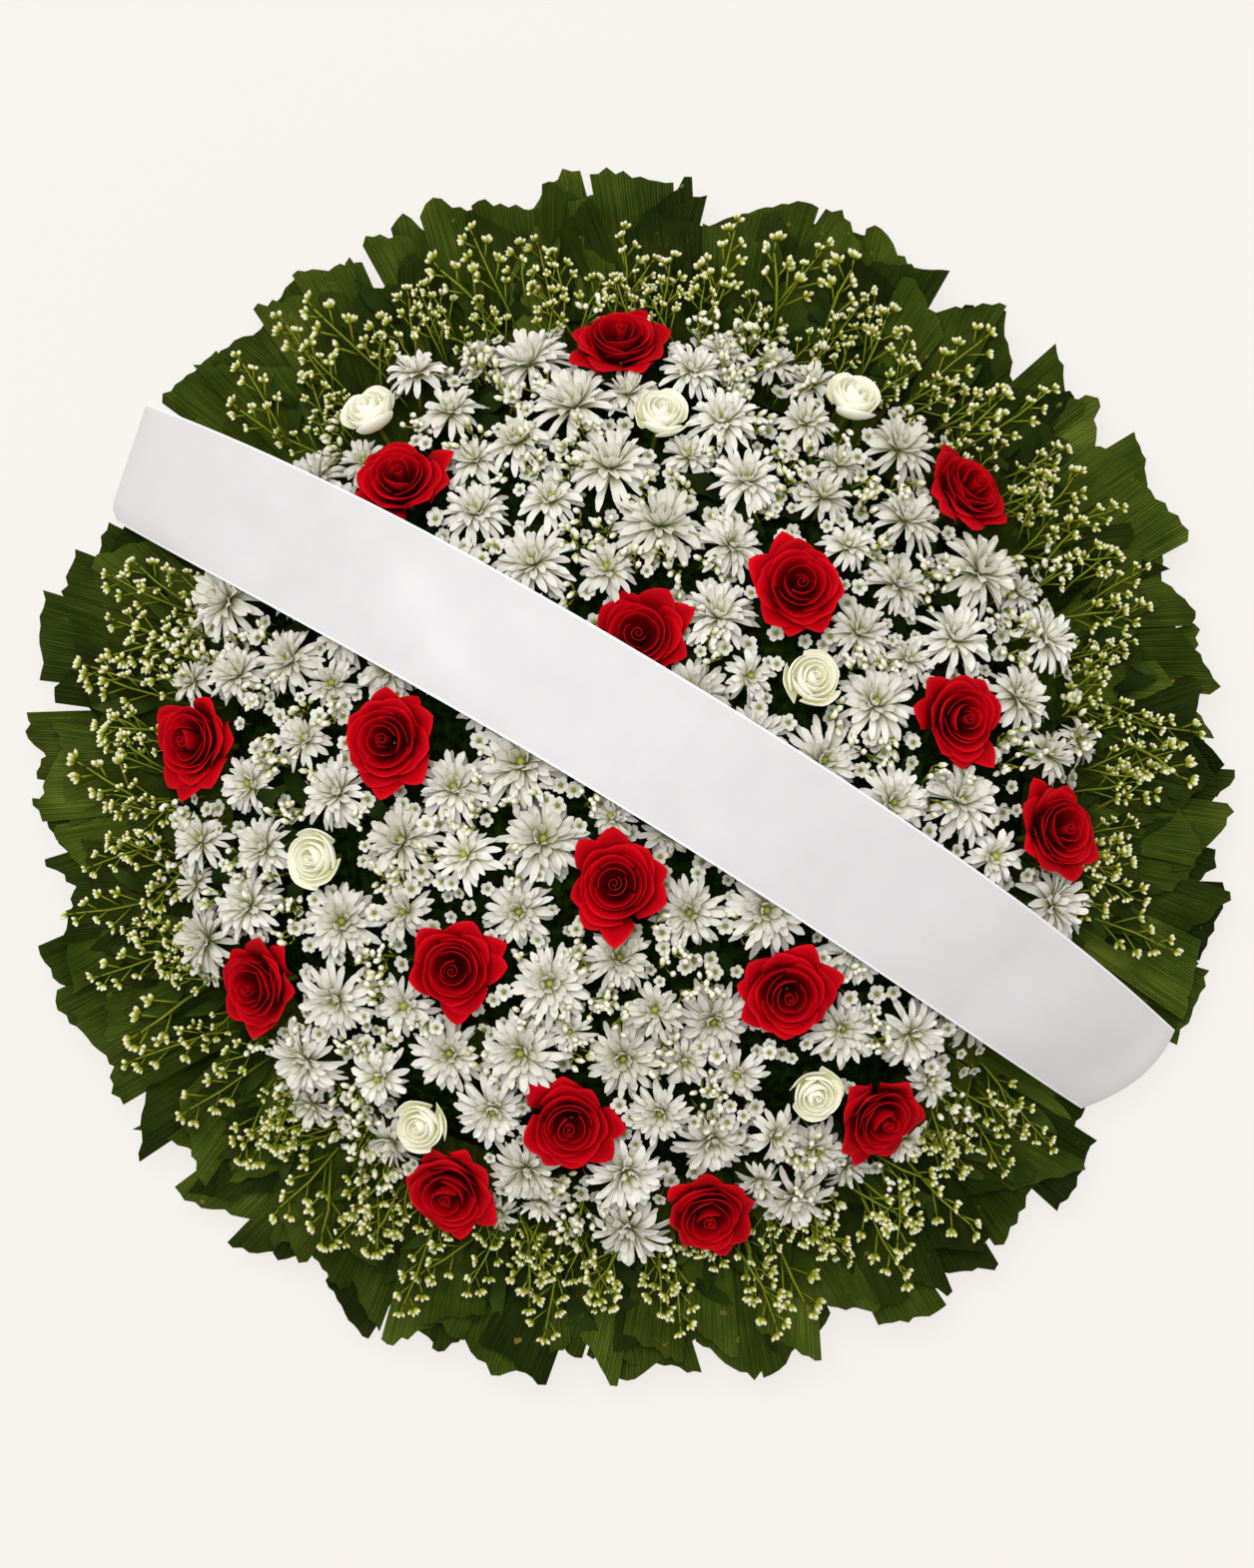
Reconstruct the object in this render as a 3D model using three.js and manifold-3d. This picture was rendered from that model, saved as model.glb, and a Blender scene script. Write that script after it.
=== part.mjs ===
// A round memorial wreath: a mound of fresh flowers on a straw pad, with a collar of broad leaves and a blank
// satin sash. It lies on its back: +Z points out of its flowered face and +Y to its top when it hangs.
// The origin is the middle of the back, on the lower faces of the two crossed battens. Millimetres.
import * as THREE from "three";
import { mergeVertices } from "three/addons/utils/BufferGeometryUtils.js";
import Module from "manifold-3d";

const wasm = await Module();
wasm.setup();

// Driving dimensions
const battenThickness = 18;
const battenWidth = 45;
const battenLength = 640;
const padRadius = 352;
const padThickness = 30;
const foamRadius = 318;
const foamRise = 118;
const domeRadius = 405; // the ellipsoid that the flower faces lie on
const domeRise = 175;
const domeFoot = 40;
const leafTipRadius = 500;
const leavesPerFan = 5;
const fanCount = 9;
const sashWidth = 112;
const sashEndWidth = 96;
const sashThickness = 0.8;
const sashClockDeg = -31.9; // the way the sash runs, downhill to the right
const gap = 0.3; // between pieces that touch

const padFoot = battenThickness + gap;
const padTop = padFoot + padThickness;
const foamFoot = padTop + gap;
const goldenAngle = Math.PI * (3 - Math.sqrt(5));
const up = new THREE.Vector3(0, 0, 1);

// Where the roses stand: clock angle in degrees, counted from +X towards +Y, distance from the middle, lift
const redRoses = [
  [91, 354, 0], [127, 301, 0], [40.4, 362, 0], [48.7, 204, 2], [85.7, 115, -9], [10.2, 269, 2],
  [175, 352, 0], [170.7, 192, 3], [-6.5, 350, 0], [-97, 82, 5], [-132.7, 202, 3], [-53.3, 211, 3],
  [-151, 342, 0], [-99.5, 277, 2], [-53.1, 340, 0], [-113.4, 362, 0], [-79.4, 356, 0],
];
const whiteRoses = [
  [125.1, 362, 3], [84.8, 292, 4], [59.5, 357, 2], [28.7, 165, 5], [-166.1, 255, 4], [-121, 320, 4], [-59.2, 290, 4],
];

// Solids and meshes

function solidOf(geometry) {
  const bare = new THREE.BufferGeometry().setAttribute("position", geometry.getAttribute("position"));
  bare.setIndex(geometry.index);
  const merged = mergeVertices(bare, 1e-4);
  return new wasm.Manifold(new wasm.Mesh({
    numProp: 3,
    vertProperties: new Float32Array(merged.attributes.position.array),
    triVerts: new Uint32Array(merged.index.array),
  }));
}

function geometryOf(solid) {
  const mesh = solid.getMesh();
  return new THREE.BufferGeometry()
    .setAttribute("position", new THREE.BufferAttribute(mesh.vertProperties, 3))
    .setIndex(new THREE.BufferAttribute(mesh.triVerts, 1));
}

// A closed surface from rows of points, each row a closed ring of equal length; the ends are fanned shut.
// The ring's second half splits its faces the other way, so that the two sides of a thin sheet stay parallel.
function skinSolid(rings) {
  const count = rings[0].length;
  const corners = rings.flat().flatMap((p) => [p.x, p.y, p.z]);
  const faces = [];
  for (let row = 0; row + 1 < rings.length; row++)
    for (let i = 0; i < count; i++) {
      const a = row * count + i;
      const b = row * count + ((i + 1) % count);
      if (i < count / 2) faces.push(a, b, b + count, a, b + count, a + count);
      else faces.push(a, b, a + count, b, b + count, a + count);
    }
  const last = (rings.length - 1) * count;
  for (let i = 1; i + 1 < count; i++) {
    faces.push(0, i + 1, i);
    faces.push(last, last + i, last + i + 1);
  }
  const geometry = new THREE.BufferGeometry();
  geometry.setAttribute("position", new THREE.Float32BufferAttribute(corners, 3)).setIndex(faces);
  const solid = solidOf(geometry);
  if (solid.volume() > 0) return solid;
  for (let i = 0; i < faces.length; i += 3) [faces[i + 1], faces[i + 2]] = [faces[i + 2], faces[i + 1]];
  return solidOf(geometry.setIndex(faces));
}

// A round piece from its outline, given as [radius, height] from the bottom of the axis to its top.
function turned(outline, sides) {
  const points = outline.map(([radius, height]) => new THREE.Vector2(radius, height));
  return new THREE.LatheGeometry(points, sides).rotateX(Math.PI / 2);
}

// A straight rod between two points, with few sides.
function rod(from, to, radius, sides = 3) {
  const axis = to.clone().sub(from);
  const geometry = new THREE.CylinderGeometry(radius, radius, axis.length(), sides).rotateX(Math.PI / 2);
  geometry.applyQuaternion(new THREE.Quaternion().setFromUnitVectors(up, axis.clone().normalize()));
  return solidOf(geometry.translate(...from.clone().add(to).multiplyScalar(0.5).toArray()));
}

const wreath = new THREE.Group();

function add(name, geometry, material) {
  const mesh = new THREE.Mesh(geometry, material);
  mesh.name = name;
  wreath.add(mesh);
  return mesh;
}

const numbered = (name, index) => `${name}_${String(index + 1).padStart(2, "0")}`;

const material = (color, roughness, metalness = 0) =>
  new THREE.MeshStandardMaterial({ color, roughness, metalness });
const pine = material(0xc9a878, 0.75);
const straw = material(0xc2a765, 0.9);
const steel = material(0x8d8f90, 0.35, 1);
const foamGreen = material(0x2f4a25, 0.95);
const satin = material(0xf0eff1, 0.4);
const redPetal = material(0xb30312, 0.55);
const whitePetal = material(0xf3f0de, 0.6);
const chrysanthemumWhite = material(0xf0efe9, 0.6);
const leafGreen = material(0x2b4319, 0.5);
const fillerGreen = material(0x8f9a3a, 0.7);

// The flowered dome

function placeOnDome(x, y, lift) {
  const share = Math.min(0.97, (x * x + y * y) / domeRadius ** 2);
  const height = domeRise * Math.sqrt(1 - share);
  const axis = new THREE.Vector3(x / domeRadius ** 2, y / domeRadius ** 2, height / domeRise ** 2).normalize();
  const point = new THREE.Vector3(x, y, domeFoot + height).addScaledVector(axis, lift);
  return { point, axis, turn: new THREE.Quaternion().setFromUnitVectors(up, axis) };
}

function placeByClock([clockDeg, radius, lift]) {
  const angle = THREE.MathUtils.degToRad(clockDeg);
  return placeOnDome(radius * Math.cos(angle), radius * Math.sin(angle), lift);
}

// Chrysanthemum heads fill the dome round the roses. They start on a sunflower spiral and push each other and
// themselves clear of the roses. Sizes are the petal tips' radii.
const headCount = 104;
const headSizes = [39, 33, 28, 33, 39, 30, 36];
const headReach = 372; // the furthest that a head's middle gets from the axis
const headCrowding = 0.82; // the share of its radius that a head keeps free of its neighbours
const redRoseRadius = 42;
const whiteRoseRadius = 26;

function spreadHeads() {
  const roses = [
    ...redRoses.map((spot) => ({ ...placeByClock(spot), keep: redRoseRadius * 0.86 })),
    ...whiteRoses.map((spot) => ({ ...placeByClock(spot), keep: whiteRoseRadius * 0.98 })),
  ];
  const heads = [];
  for (let i = 0; i < headCount; i++) {
    const radius = headReach * Math.sqrt((i + 0.5) / headCount);
    const size = headSizes[i % headSizes.length];
    heads.push({
      x: radius * Math.cos(i * goldenAngle), y: radius * Math.sin(i * goldenAngle), size,
      keep: size * headCrowding,
    });
  }
  for (let round = 0; round < 90; round++) {
    const spots = heads.map((head) => placeOnDome(head.x, head.y, 0).point);
    heads.forEach((head, i) => {
      const push = (other, keep, share) => {
        const apart = spots[i].distanceTo(other);
        const short = head.keep + keep - apart;
        if (short <= 0) return;
        head.x += ((spots[i].x - other.x) / apart) * short * share;
        head.y += ((spots[i].y - other.y) / apart) * short * share;
      };
      roses.forEach((rose) => push(rose.point, rose.keep, 0.7));
      heads.forEach((other, j) => j !== i && push(spots[j], other.keep, 0.35));
      const reach = Math.hypot(head.x, head.y) / headReach;
      if (reach > 1) {
        head.x /= reach;
        head.y /= reach;
      }
    });
  }
  return heads;
}

const heads = spreadHeads();

// Frame: two half-lapped battens, a straw pad, and a wire loop to hang the wreath by

function batten(notchOnTop) {
  const bar = new THREE.BoxGeometry(battenWidth, battenLength, battenThickness).translate(0, 0, battenThickness / 2);
  const notchDepth = battenThickness / 2 + gap / 2;
  const notch = new THREE.BoxGeometry(battenWidth * 2, battenWidth + 2 * gap, 2 * notchDepth);
  notch.translate(0, 0, notchOnTop ? battenThickness : 0);
  return geometryOf(solidOf(bar).subtract(solidOf(notch)));
}

function strawPad(pins) {
  const edge = 8;
  const outline = [
    [0, padFoot], [padRadius - edge, padFoot], [padRadius, padFoot + edge], [padRadius, padTop - edge],
    [padRadius - edge, padTop], [0, padTop],
  ];
  return pins.reduce((pad, hole) => pad.subtract(hole), solidOf(turned(outline, 32)));
}

const hangerWireRadius = 2;
const hangerHeight = 9; // of the wire's line above the surface the wreath lies on

function hangerWire() {
  const side = battenWidth / 2 + gap + hangerWireRadius;
  const root = battenLength / 2 - 60;
  const crown = battenLength / 2 + 2;
  const top = crown + side;
  const line = new THREE.CurvePath();
  line.add(new THREE.LineCurve3(new THREE.Vector3(-side, root, hangerHeight), new THREE.Vector3(-side, crown, hangerHeight)));
  const bend = 0.5523 * side;
  line.add(new THREE.CubicBezierCurve3(
    new THREE.Vector3(-side, crown, hangerHeight), new THREE.Vector3(-side, crown + bend, hangerHeight),
    new THREE.Vector3(-bend, top, hangerHeight), new THREE.Vector3(0, top, hangerHeight),
  ));
  line.add(new THREE.CubicBezierCurve3(
    new THREE.Vector3(0, top, hangerHeight), new THREE.Vector3(bend, top, hangerHeight),
    new THREE.Vector3(side, crown + bend, hangerHeight), new THREE.Vector3(side, crown, hangerHeight),
  ));
  line.add(new THREE.LineCurve3(new THREE.Vector3(side, crown, hangerHeight), new THREE.Vector3(side, root, hangerHeight)));
  const section = new THREE.Shape();
  section.absarc(0, 0, hangerWireRadius, 0, 2 * Math.PI);
  return new THREE.ExtrudeGeometry(section, { extrudePath: line, steps: 16, curveSegments: 4 });
}

// Floral foam mound, bored for every stem
const stemHole = 1;
const foamOutline = [
  [0, foamFoot], [foamRadius, foamFoot], [foamRadius, foamFoot + 22], [0.93 * foamRadius, foamFoot + 0.5 * foamRise],
  [0.76 * foamRadius, foamFoot + 0.76 * foamRise], [0.5 * foamRadius, foamFoot + 0.93 * foamRise],
  [0.22 * foamRadius, foamFoot + foamRise], [0, foamFoot + foamRise],
];

function foamMound(stems) {
  const mound = solidOf(turned(foamOutline, 36));
  return stems.reduce((left, { from, to, radius }) => left.subtract(rod(from, to, 1.2 * radius + stemHole, 5)), mound);
}

// Roses: a stem, a calyx, flung outer petals and a raised heart

function roseGeometry({ radius, depth, stemRadius, stemEnd, heart, points, sides }) {
  const outline = [
    [0, -stemEnd], [stemRadius, -stemEnd], [stemRadius, -depth], [0.5 * radius, -0.66 * depth],
    [radius, 1], [0.6 * radius, heart * 0.82], [0.24 * radius, heart], [0, heart * 0.8],
  ];
  const geometry = turned(outline, sides);
  const place = geometry.getAttribute("position");
  for (let i = 0; i < place.count; i++) {
    const reach = Math.hypot(place.getX(i), place.getY(i));
    if (reach < 0.9 * radius) continue;
    const side = Math.round((Math.atan2(place.getX(i), -place.getY(i)) * sides) / (2 * Math.PI));
    if (points && side % 2 !== 0) place.setXY(i, place.getX(i) * 0.86, place.getY(i) * 0.86);
  }
  return geometry;
}

const redRose = { radius: 42, depth: 28, stemRadius: 3, stemEnd: 84, heart: 15, points: true, sides: 10 };
const whiteRose = { radius: 26, depth: 26, stemRadius: 2.5, stemEnd: 84, heart: 13, points: false, sides: 8 };

function addRoses(name, spots, kind, petal) {
  const geometry = roseGeometry(kind);
  return spots.map((spot, i) => {
    const { point, axis, turn } = placeByClock(spot);
    const mesh = add(numbered(name, i), geometry, petal);
    mesh.position.copy(point);
    mesh.quaternion.copy(turn);
    return {
      from: point.clone().addScaledVector(axis, -kind.stemEnd - 1),
      to: point.clone().addScaledVector(axis, -kind.depth),
      radius: kind.stemRadius,
    };
  });
}

// Chrysanthemum sprays: neighbouring heads borne on one branching stem
const headDepth = 13;
const branchDepth = 19;
const branchRadius = 2;
const headSides = 6;
const sprayStem = { radius: 2.6, end: 82, sides: 5 };

function headSolid(head) {
  const radius = head.keep - 1;
  const outline = [[0, -headDepth], [radius, -2], [0.5 * radius, 7], [0, 8]];
  const { point, turn } = placeOnDome(head.x, head.y, -3);
  return solidOf(turned(outline, headSides).applyQuaternion(turn).translate(...point.toArray()));
}

// Bands of heads from the middle out, each cut into equal sectors: [outer radius, sectors, first clock angle]
const sprayBands = [[112, 1, 0], [245, 4, 20], [headReach + 1, 7, 5]];

function sprayGroups() {
  const groups = [];
  let inner = 0;
  for (const [outer, sectors, firstDeg] of sprayBands) {
    const band = heads.filter((head) => {
      const reach = Math.hypot(head.x, head.y);
      return reach >= inner && reach < outer;
    });
    for (let sector = 0; sector < sectors; sector++)
      groups.push(band.filter((head) => {
        const turns = (Math.atan2(head.y, head.x) * 180 / Math.PI - firstDeg + 720) % 360;
        return Math.floor((turns * sectors) / 360) === sector;
      }));
    inner = outer;
  }
  return groups;
}

// A branch of three flat sides from under one head, down and along to another head's fork.
function branchSolid(from, to) {
  const side = to.point.clone().sub(from.point).cross(from.axis).normalize();
  const ring = ({ point, axis }, depth) => [0, 120, 240].map((deg) => {
    const turn = THREE.MathUtils.degToRad(deg);
    const out = side.clone().multiplyScalar(Math.sin(turn)).addScaledVector(axis, Math.cos(turn));
    return point.clone().addScaledVector(axis, -depth).addScaledVector(out, branchRadius);
  });
  const neck = [0, 120, 240].map((deg) => {
    const turn = THREE.MathUtils.degToRad(deg);
    const across = side.clone().cross(from.axis);
    const out = side.clone().multiplyScalar(Math.sin(turn)).addScaledVector(across, -Math.cos(turn));
    return from.point.clone().addScaledVector(from.axis, -7).addScaledVector(out, branchRadius);
  });
  return skinSolid([neck, ring(from, branchDepth), ring(to, branchDepth + 1)]);
}

// Joins each head to its nearest neighbour that is already on the stem.
function spraySolid(group) {
  const spots = group.map((head) => placeOnDome(head.x, head.y, 0));
  const joined = [0];
  const { point, axis } = spots[0];
  const stem = {
    from: point.clone().addScaledVector(axis, -sprayStem.end - 1),
    to: point.clone().addScaledVector(axis, -5),
    radius: sprayStem.radius,
  };
  const foot = point.clone().addScaledVector(axis, -sprayStem.end);
  let spray = headSolid(group[0]).add(rod(foot, stem.to, stem.radius, sprayStem.sides));
  while (joined.length < group.length) {
    let best = null;
    group.forEach((_, i) => {
      if (joined.includes(i)) return;
      for (const j of joined) {
        const length = spots[i].point.distanceTo(spots[j].point);
        if (!best || length < best.length) best = { i, j, length };
      }
    });
    spray = spray.add(headSolid(group[best.i])).add(branchSolid(spots[best.i], spots[best.j]));
    joined.push(best.i);
  }
  return { spray, stem };
}

// Leaf collar: fans of leaves bound on a wire, shingled all round. A leaf's height is a function of where it is,
// so that no leaf runs through the next one.
const leafCount = leavesPerFan * fanCount;
const leafStepDeg = 360 / leafCount;
const leafThickness = 1.6;
const leafRootRadius = 332;
const leafShingle = 0.1; // how far a leaf leans on its neighbour
const leafFold = 0.04;
const leafRows = [ // shape: pairs of a share of the length and of the half width
  { height: 54, tip: leafTipRadius, width: 88, phase: 0, shape: [[0, 0.2], [0.5, 0.95], [0.9, 0.78], [1, 0.2]] },
  { height: 67, tip: 484, width: 80, phase: 0.5, shape: [[0, 0.2], [0.8, 0.95], [1, 0.22]] },
];
const tipTrims = [0, 7, 3, 12, 5, 1, 9]; // how much shorter than the collar's radius each leaf in turn is
const leafYawsDeg = [0, 5, -4, 6, -6, 3, -3, 4];
const sashTrim = 22; // leaves that the sash folds over are this much shorter

function offSashDeg(clockDeg) {
  const away = Math.abs((((clockDeg - sashClockDeg) % 180) + 180) % 180);
  return Math.min(away, 180 - away);
}

function leafHeight(row, radius, aside) {
  const along = (radius - leafRootRadius) / (leafTipRadius - leafRootRadius);
  return row.height + 3 * Math.sin(Math.PI * Math.min(1, along)) - 5 * along * along + leafShingle * aside
    - leafFold * Math.abs(aside);
}

// aside is the distance to the left of the leaf's axis
function leafSolid(row, index, clockDeg) {
  const trim = tipTrims[index % tipTrims.length] + (offSashDeg(clockDeg) < 9 ? sashTrim : 0);
  const length = row.tip - trim - leafRootRadius;
  const yaw = THREE.MathUtils.degToRad(leafYawsDeg[index % leafYawsDeg.length]);
  const clock = THREE.MathUtils.degToRad(clockDeg);
  const half = row.width / 2;
  const rings = row.shape.map(([share, wide]) => {
    const at = (side, lift) => {
      const aside = side * wide * half + Math.sin(yaw) * share * length;
      const radius = leafRootRadius + share * length - Math.abs(side * wide) * 3;
      const x = radius * Math.cos(clock) - aside * Math.sin(clock);
      const y = radius * Math.sin(clock) + aside * Math.cos(clock);
      return new THREE.Vector3(x, y, leafHeight(row, radius, aside) + lift);
    };
    return [at(1, 0), at(0, leafThickness / 2), at(-1, 0), at(0, -leafThickness / 2)];
  });
  return skinSolid(rings);
}

function fanSolid(fan) {
  const firstDeg = fan * leavesPerFan * leafStepDeg;
  const spanDeg = leavesPerFan * leafStepDeg;
  const bar = [];
  const steps = 3;
  for (let i = 0; i <= steps; i++) {
    const clock = THREE.MathUtils.degToRad(firstDeg - 2 + (spanDeg - 0.4) * (i / steps));
    const corner = (radius, height) => new THREE.Vector3(radius * Math.cos(clock), radius * Math.sin(clock), height);
    bar.push([corner(328, padTop + gap), corner(337, padTop + gap), corner(337, 71), corner(328, 71)]);
  }
  let solid = skinSolid(bar);
  leafRows.forEach((row, rowIndex) => {
    for (let k = 0; k < leavesPerFan; k++) {
      const index = fan * leavesPerFan + k;
      solid = solid.add(leafSolid(row, index + 3 * rowIndex, (index + row.phase) * leafStepDeg));
    }
  });
  return solid;
}

// Filler: arcs of small-flowered sprigs that lie out over the leaves from under the dome
const fillerArcs = 6;
const sprigsPerArc = 9;
const sprigReaches = [462, 446, 470, 438, 456];

function sprigSolid(clockDeg, reach) {
  const clock = THREE.MathUtils.degToRad(clockDeg);
  const at = (radius, aside, height) => new THREE.Vector3(
    radius * Math.cos(clock) - aside * Math.sin(clock), radius * Math.sin(clock) + aside * Math.cos(clock), height);
  const ring = (radius, half, low, high) => [at(radius, half, low), at(radius, 0, high), at(radius, -half, low)];
  return skinSolid([ring(366, 3, 78, 83), ring(0.4 * 366 + 0.6 * reach, 13, 75, 86), ring(reach, 4, 77, 82)]);
}

function fillerSolid(arc) {
  const spanDeg = 360 / fillerArcs;
  const stepDeg = spanDeg / sprigsPerArc;
  const line = [];
  for (let i = 0; i <= 4; i++) {
    const clock = THREE.MathUtils.degToRad(arc * spanDeg + 1 + (spanDeg - 2) * (i / 4));
    const corner = (radius, height) => new THREE.Vector3(radius * Math.cos(clock), radius * Math.sin(clock), height);
    line.push([corner(364, 78), corner(370, 78), corner(370, 84), corner(364, 84)]);
  }
  let solid = skinSolid(line);
  for (let k = 0; k < sprigsPerArc; k++) {
    const clockDeg = arc * spanDeg + (k + 0.5) * stepDeg;
    if (offSashDeg(clockDeg) < 9) continue;
    solid = solid.add(sprigSolid(clockDeg, sprigReaches[(arc * sprigsPerArc + k) % sprigReaches.length]));
  }
  return solid;
}

// Sash: over the dome, down to the collar's edge, folded round it and pinned to the pad's back at both ends
const sashLift = 17; // of the sash above the dome that the flower faces lie on
const sashShoulder = 338; // where it leaves the flowers and runs straight to the fold
const foldAt = 484;
const foldRadius = 11;
const foldHeight = 52;
const tailHeight = padFoot - gap - sashThickness / 2;
const tailTurn = padRadius + 12;
const tailEnd = 282;

// How far the sash's middle line lies from the wreath's middle, and how its width gathers towards the ends
const sashOffset = (along) => 35 - 24 * ((along - 50) / foldAt) ** 2;
const sashHalf = (along) => (sashWidth - (sashWidth - sashEndWidth) * (along / foldAt) ** 4) / 2;
const sashBend = 1750; // the upper edge runs this much further round: its ends are cut on the slant

function domeHeight(x, y) {
  return domeFoot + domeRise * Math.sqrt(1 - Math.min(0.97, (x * x + y * y) / domeRadius ** 2));
}

function sashFront(along, aside) {
  const reach = Math.min(Math.abs(along), sashShoulder);
  const onFlowers = domeHeight(reach, sashOffset(reach) + aside) + sashLift;
  if (Math.abs(along) <= sashShoulder) return onFlowers;
  const share = (Math.abs(along) - sashShoulder) / (foldAt - sashShoulder);
  return onFlowers + (foldHeight + foldRadius - onFlowers) * share;
}

// The sash's line from the left tail over the front to the right tail, as [along, height, is on the front]
function sashStations() {
  const half = [];
  for (const along of [0, 90, 170, 235, 290, sashShoulder, 410, foldAt]) half.push([along, null]);
  for (const deg of [45, 90, 135, 180]) {
    const turn = THREE.MathUtils.degToRad(deg);
    half.push([foldAt + foldRadius * Math.sin(turn), foldHeight + foldRadius * Math.cos(turn)]);
  }
  half.push([tailTurn, tailHeight], [tailEnd, tailHeight]);
  return [...half.slice(1).reverse().map(([along, height]) => [-along, height]), ...half];
}

function sashSolid() {
  const run = THREE.MathUtils.degToRad(sashClockDeg);
  const stations = sashStations();
  const point = ([reach, height], side) => {
    const aside = side * sashHalf(Math.max(-foldAt, Math.min(foldAt, reach)));
    const along = reach * (1 + aside / sashBend);
    const across = sashOffset(reach) + aside;
    return new THREE.Vector3(
      along * Math.cos(run) - across * Math.sin(run), along * Math.sin(run) + across * Math.cos(run),
      height ?? sashFront(reach, aside));
  };
  const rings = stations.map((station, i) => {
    const before = point(stations[Math.max(0, i - 1)], 0);
    const after = point(stations[Math.min(stations.length - 1, i + 1)], 0);
    const across = new THREE.Vector3(-Math.sin(run), Math.cos(run), 0);
    const out = after.sub(before).cross(across).normalize().multiplyScalar(sashThickness / 2);
    const edge = [-1, 0, 1].map((side) => point(station, side));
    return [...edge.map((p) => p.clone().add(out)), ...edge.reverse().map((p) => p.clone().sub(out))];
  });
  return skinSolid(rings);
}

// Pins with flat heads hold the sash's ends to the straw
const pinShank = 1.2;
const pinHead = 4.5;

function pinGeometry(room) {
  const head = tailHeight - sashThickness / 2 - gap;
  const outline = [
    [0, head - 2 - room], [pinHead + room, head - 2 - room], [pinHead + room, head + room], [pinShank + room, head + room],
    [pinShank + room, padFoot + 22 + room], [0, padFoot + 22 + room],
  ];
  return turned(outline, 6);
}

function pinSpots() {
  const run = THREE.MathUtils.degToRad(sashClockDeg);
  return [-1, 1].map((side) => {
    const along = side * (tailEnd + 24);
    const across = sashOffset(along);
    return [along * Math.cos(run) - across * Math.sin(run), along * Math.sin(run) + across * Math.cos(run)];
  });
}

// Assembly

const pinHoles = pinSpots().map(([x, y]) => solidOf(pinGeometry(gap).translate(x, y, 0)));
const upright = add("batten_upright", batten(true), pine);
upright.position.set(0, 0, 0);
const crossbar = add("batten_cross", batten(false), pine);
crossbar.rotation.z = Math.PI / 2;
add("straw_pad", geometryOf(strawPad(pinHoles)), straw);
add("hanger_wire", hangerWire(), steel);

const stems = [
  ...addRoses("red_rose", redRoses, redRose, redPetal),
  ...addRoses("white_rose", whiteRoses, whiteRose, whitePetal),
];
sprayGroups().forEach((group, i) => {
  const { spray, stem } = spraySolid(group);
  stems.push(stem);
  add(numbered("chrysanthemum_spray", i), geometryOf(spray), chrysanthemumWhite);
});
add("foam_mound", geometryOf(foamMound(stems)), foamGreen);

for (let fan = 0; fan < fanCount; fan++) add(numbered("leaf_fan", fan), geometryOf(fanSolid(fan)), leafGreen);
for (let arc = 0; arc < fillerArcs; arc++) add(numbered("filler_sprigs", arc), geometryOf(fillerSolid(arc)), fillerGreen);

const sash = pinSpots().reduce((cloth, [x, y]) => cloth.subtract(
  rod(new THREE.Vector3(x, y, 0), new THREE.Vector3(x, y, padFoot + 5), pinShank + gap, 6)), sashSolid());
add("sash", geometryOf(sash), satin);
pinSpots().forEach(([x, y], i) => add(i ? "sash_pin_right" : "sash_pin_left", pinGeometry(0), steel).position.set(x, y, 0));

export default wreath;
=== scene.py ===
import math
import random
import bpy
from mathutils import Matrix, Vector, noise


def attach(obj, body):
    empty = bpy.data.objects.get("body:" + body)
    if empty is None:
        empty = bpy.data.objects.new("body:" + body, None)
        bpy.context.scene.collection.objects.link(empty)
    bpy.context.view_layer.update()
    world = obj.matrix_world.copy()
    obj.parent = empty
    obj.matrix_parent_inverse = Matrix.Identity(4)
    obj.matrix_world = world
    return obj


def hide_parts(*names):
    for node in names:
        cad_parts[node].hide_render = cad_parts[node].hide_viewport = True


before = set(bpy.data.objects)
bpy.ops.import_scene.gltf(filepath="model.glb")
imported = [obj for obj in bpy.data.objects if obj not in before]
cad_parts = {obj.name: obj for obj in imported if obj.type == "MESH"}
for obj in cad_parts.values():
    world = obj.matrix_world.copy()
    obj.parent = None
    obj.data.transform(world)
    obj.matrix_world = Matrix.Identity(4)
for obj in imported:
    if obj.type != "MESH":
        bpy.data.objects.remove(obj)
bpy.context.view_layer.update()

mm = 0.001
goldenAngle = math.pi * (3 - math.sqrt(5))
zUp = Vector((0, 0, 1))


def deselectAll():
    bpy.ops.object.select_all(action="DESELECT")


deselectAll()

# camera, floor and light

camera = {"place": (-0.8, -3.3, 3355), "lens": 91.3, "farClip": 50}
bpy.ops.object.camera_add(location=[part * mm for part in camera["place"]], rotation=(0, 0, 0))
cameraObject = bpy.context.object
cameraObject.data.lens = camera["lens"]
cameraObject.data.clip_end = camera["farClip"]
bpy.context.scene.camera = cameraObject

light = {
    "sky": 0.54, "skyColor": (1.0, 0.995, 0.985),
    "key": 112, "keySize": 2.0, "keyPlace": (-0.35, 0.8, 4.0),
    "side": 15, "sideSize": 0.6, "sidePlace": (-2.0, 1.6, 4.0),
    "aim": (0, 0, 0.1)}
paper = {
    "color": (0.13, 0.125, 0.12), "glow": (0.786, 0.757, 0.728), "roughness": 0.9,
    "size": 40, "below": 0.0005}
scene = bpy.context.scene
scene.view_settings.view_transform = "Standard"
scene.view_settings.look = "None"
world = bpy.data.worlds.new("studio")
scene.world = world
world.use_nodes = True
sky = world.node_tree.nodes["Background"]
sky.inputs["Color"].default_value = (*light["skyColor"], 1)
sky.inputs["Strength"].default_value = light["sky"]


def addSoftbox(name, place, size, power):
    bpy.ops.object.light_add(type="AREA", location=place)
    box = bpy.context.object
    box.name = name
    box.data.size = size
    box.data.energy = power
    box.rotation_euler = (Vector(light["aim"]) - Vector(place)).to_track_quat("-Z", "Y").to_euler()
    return box


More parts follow.
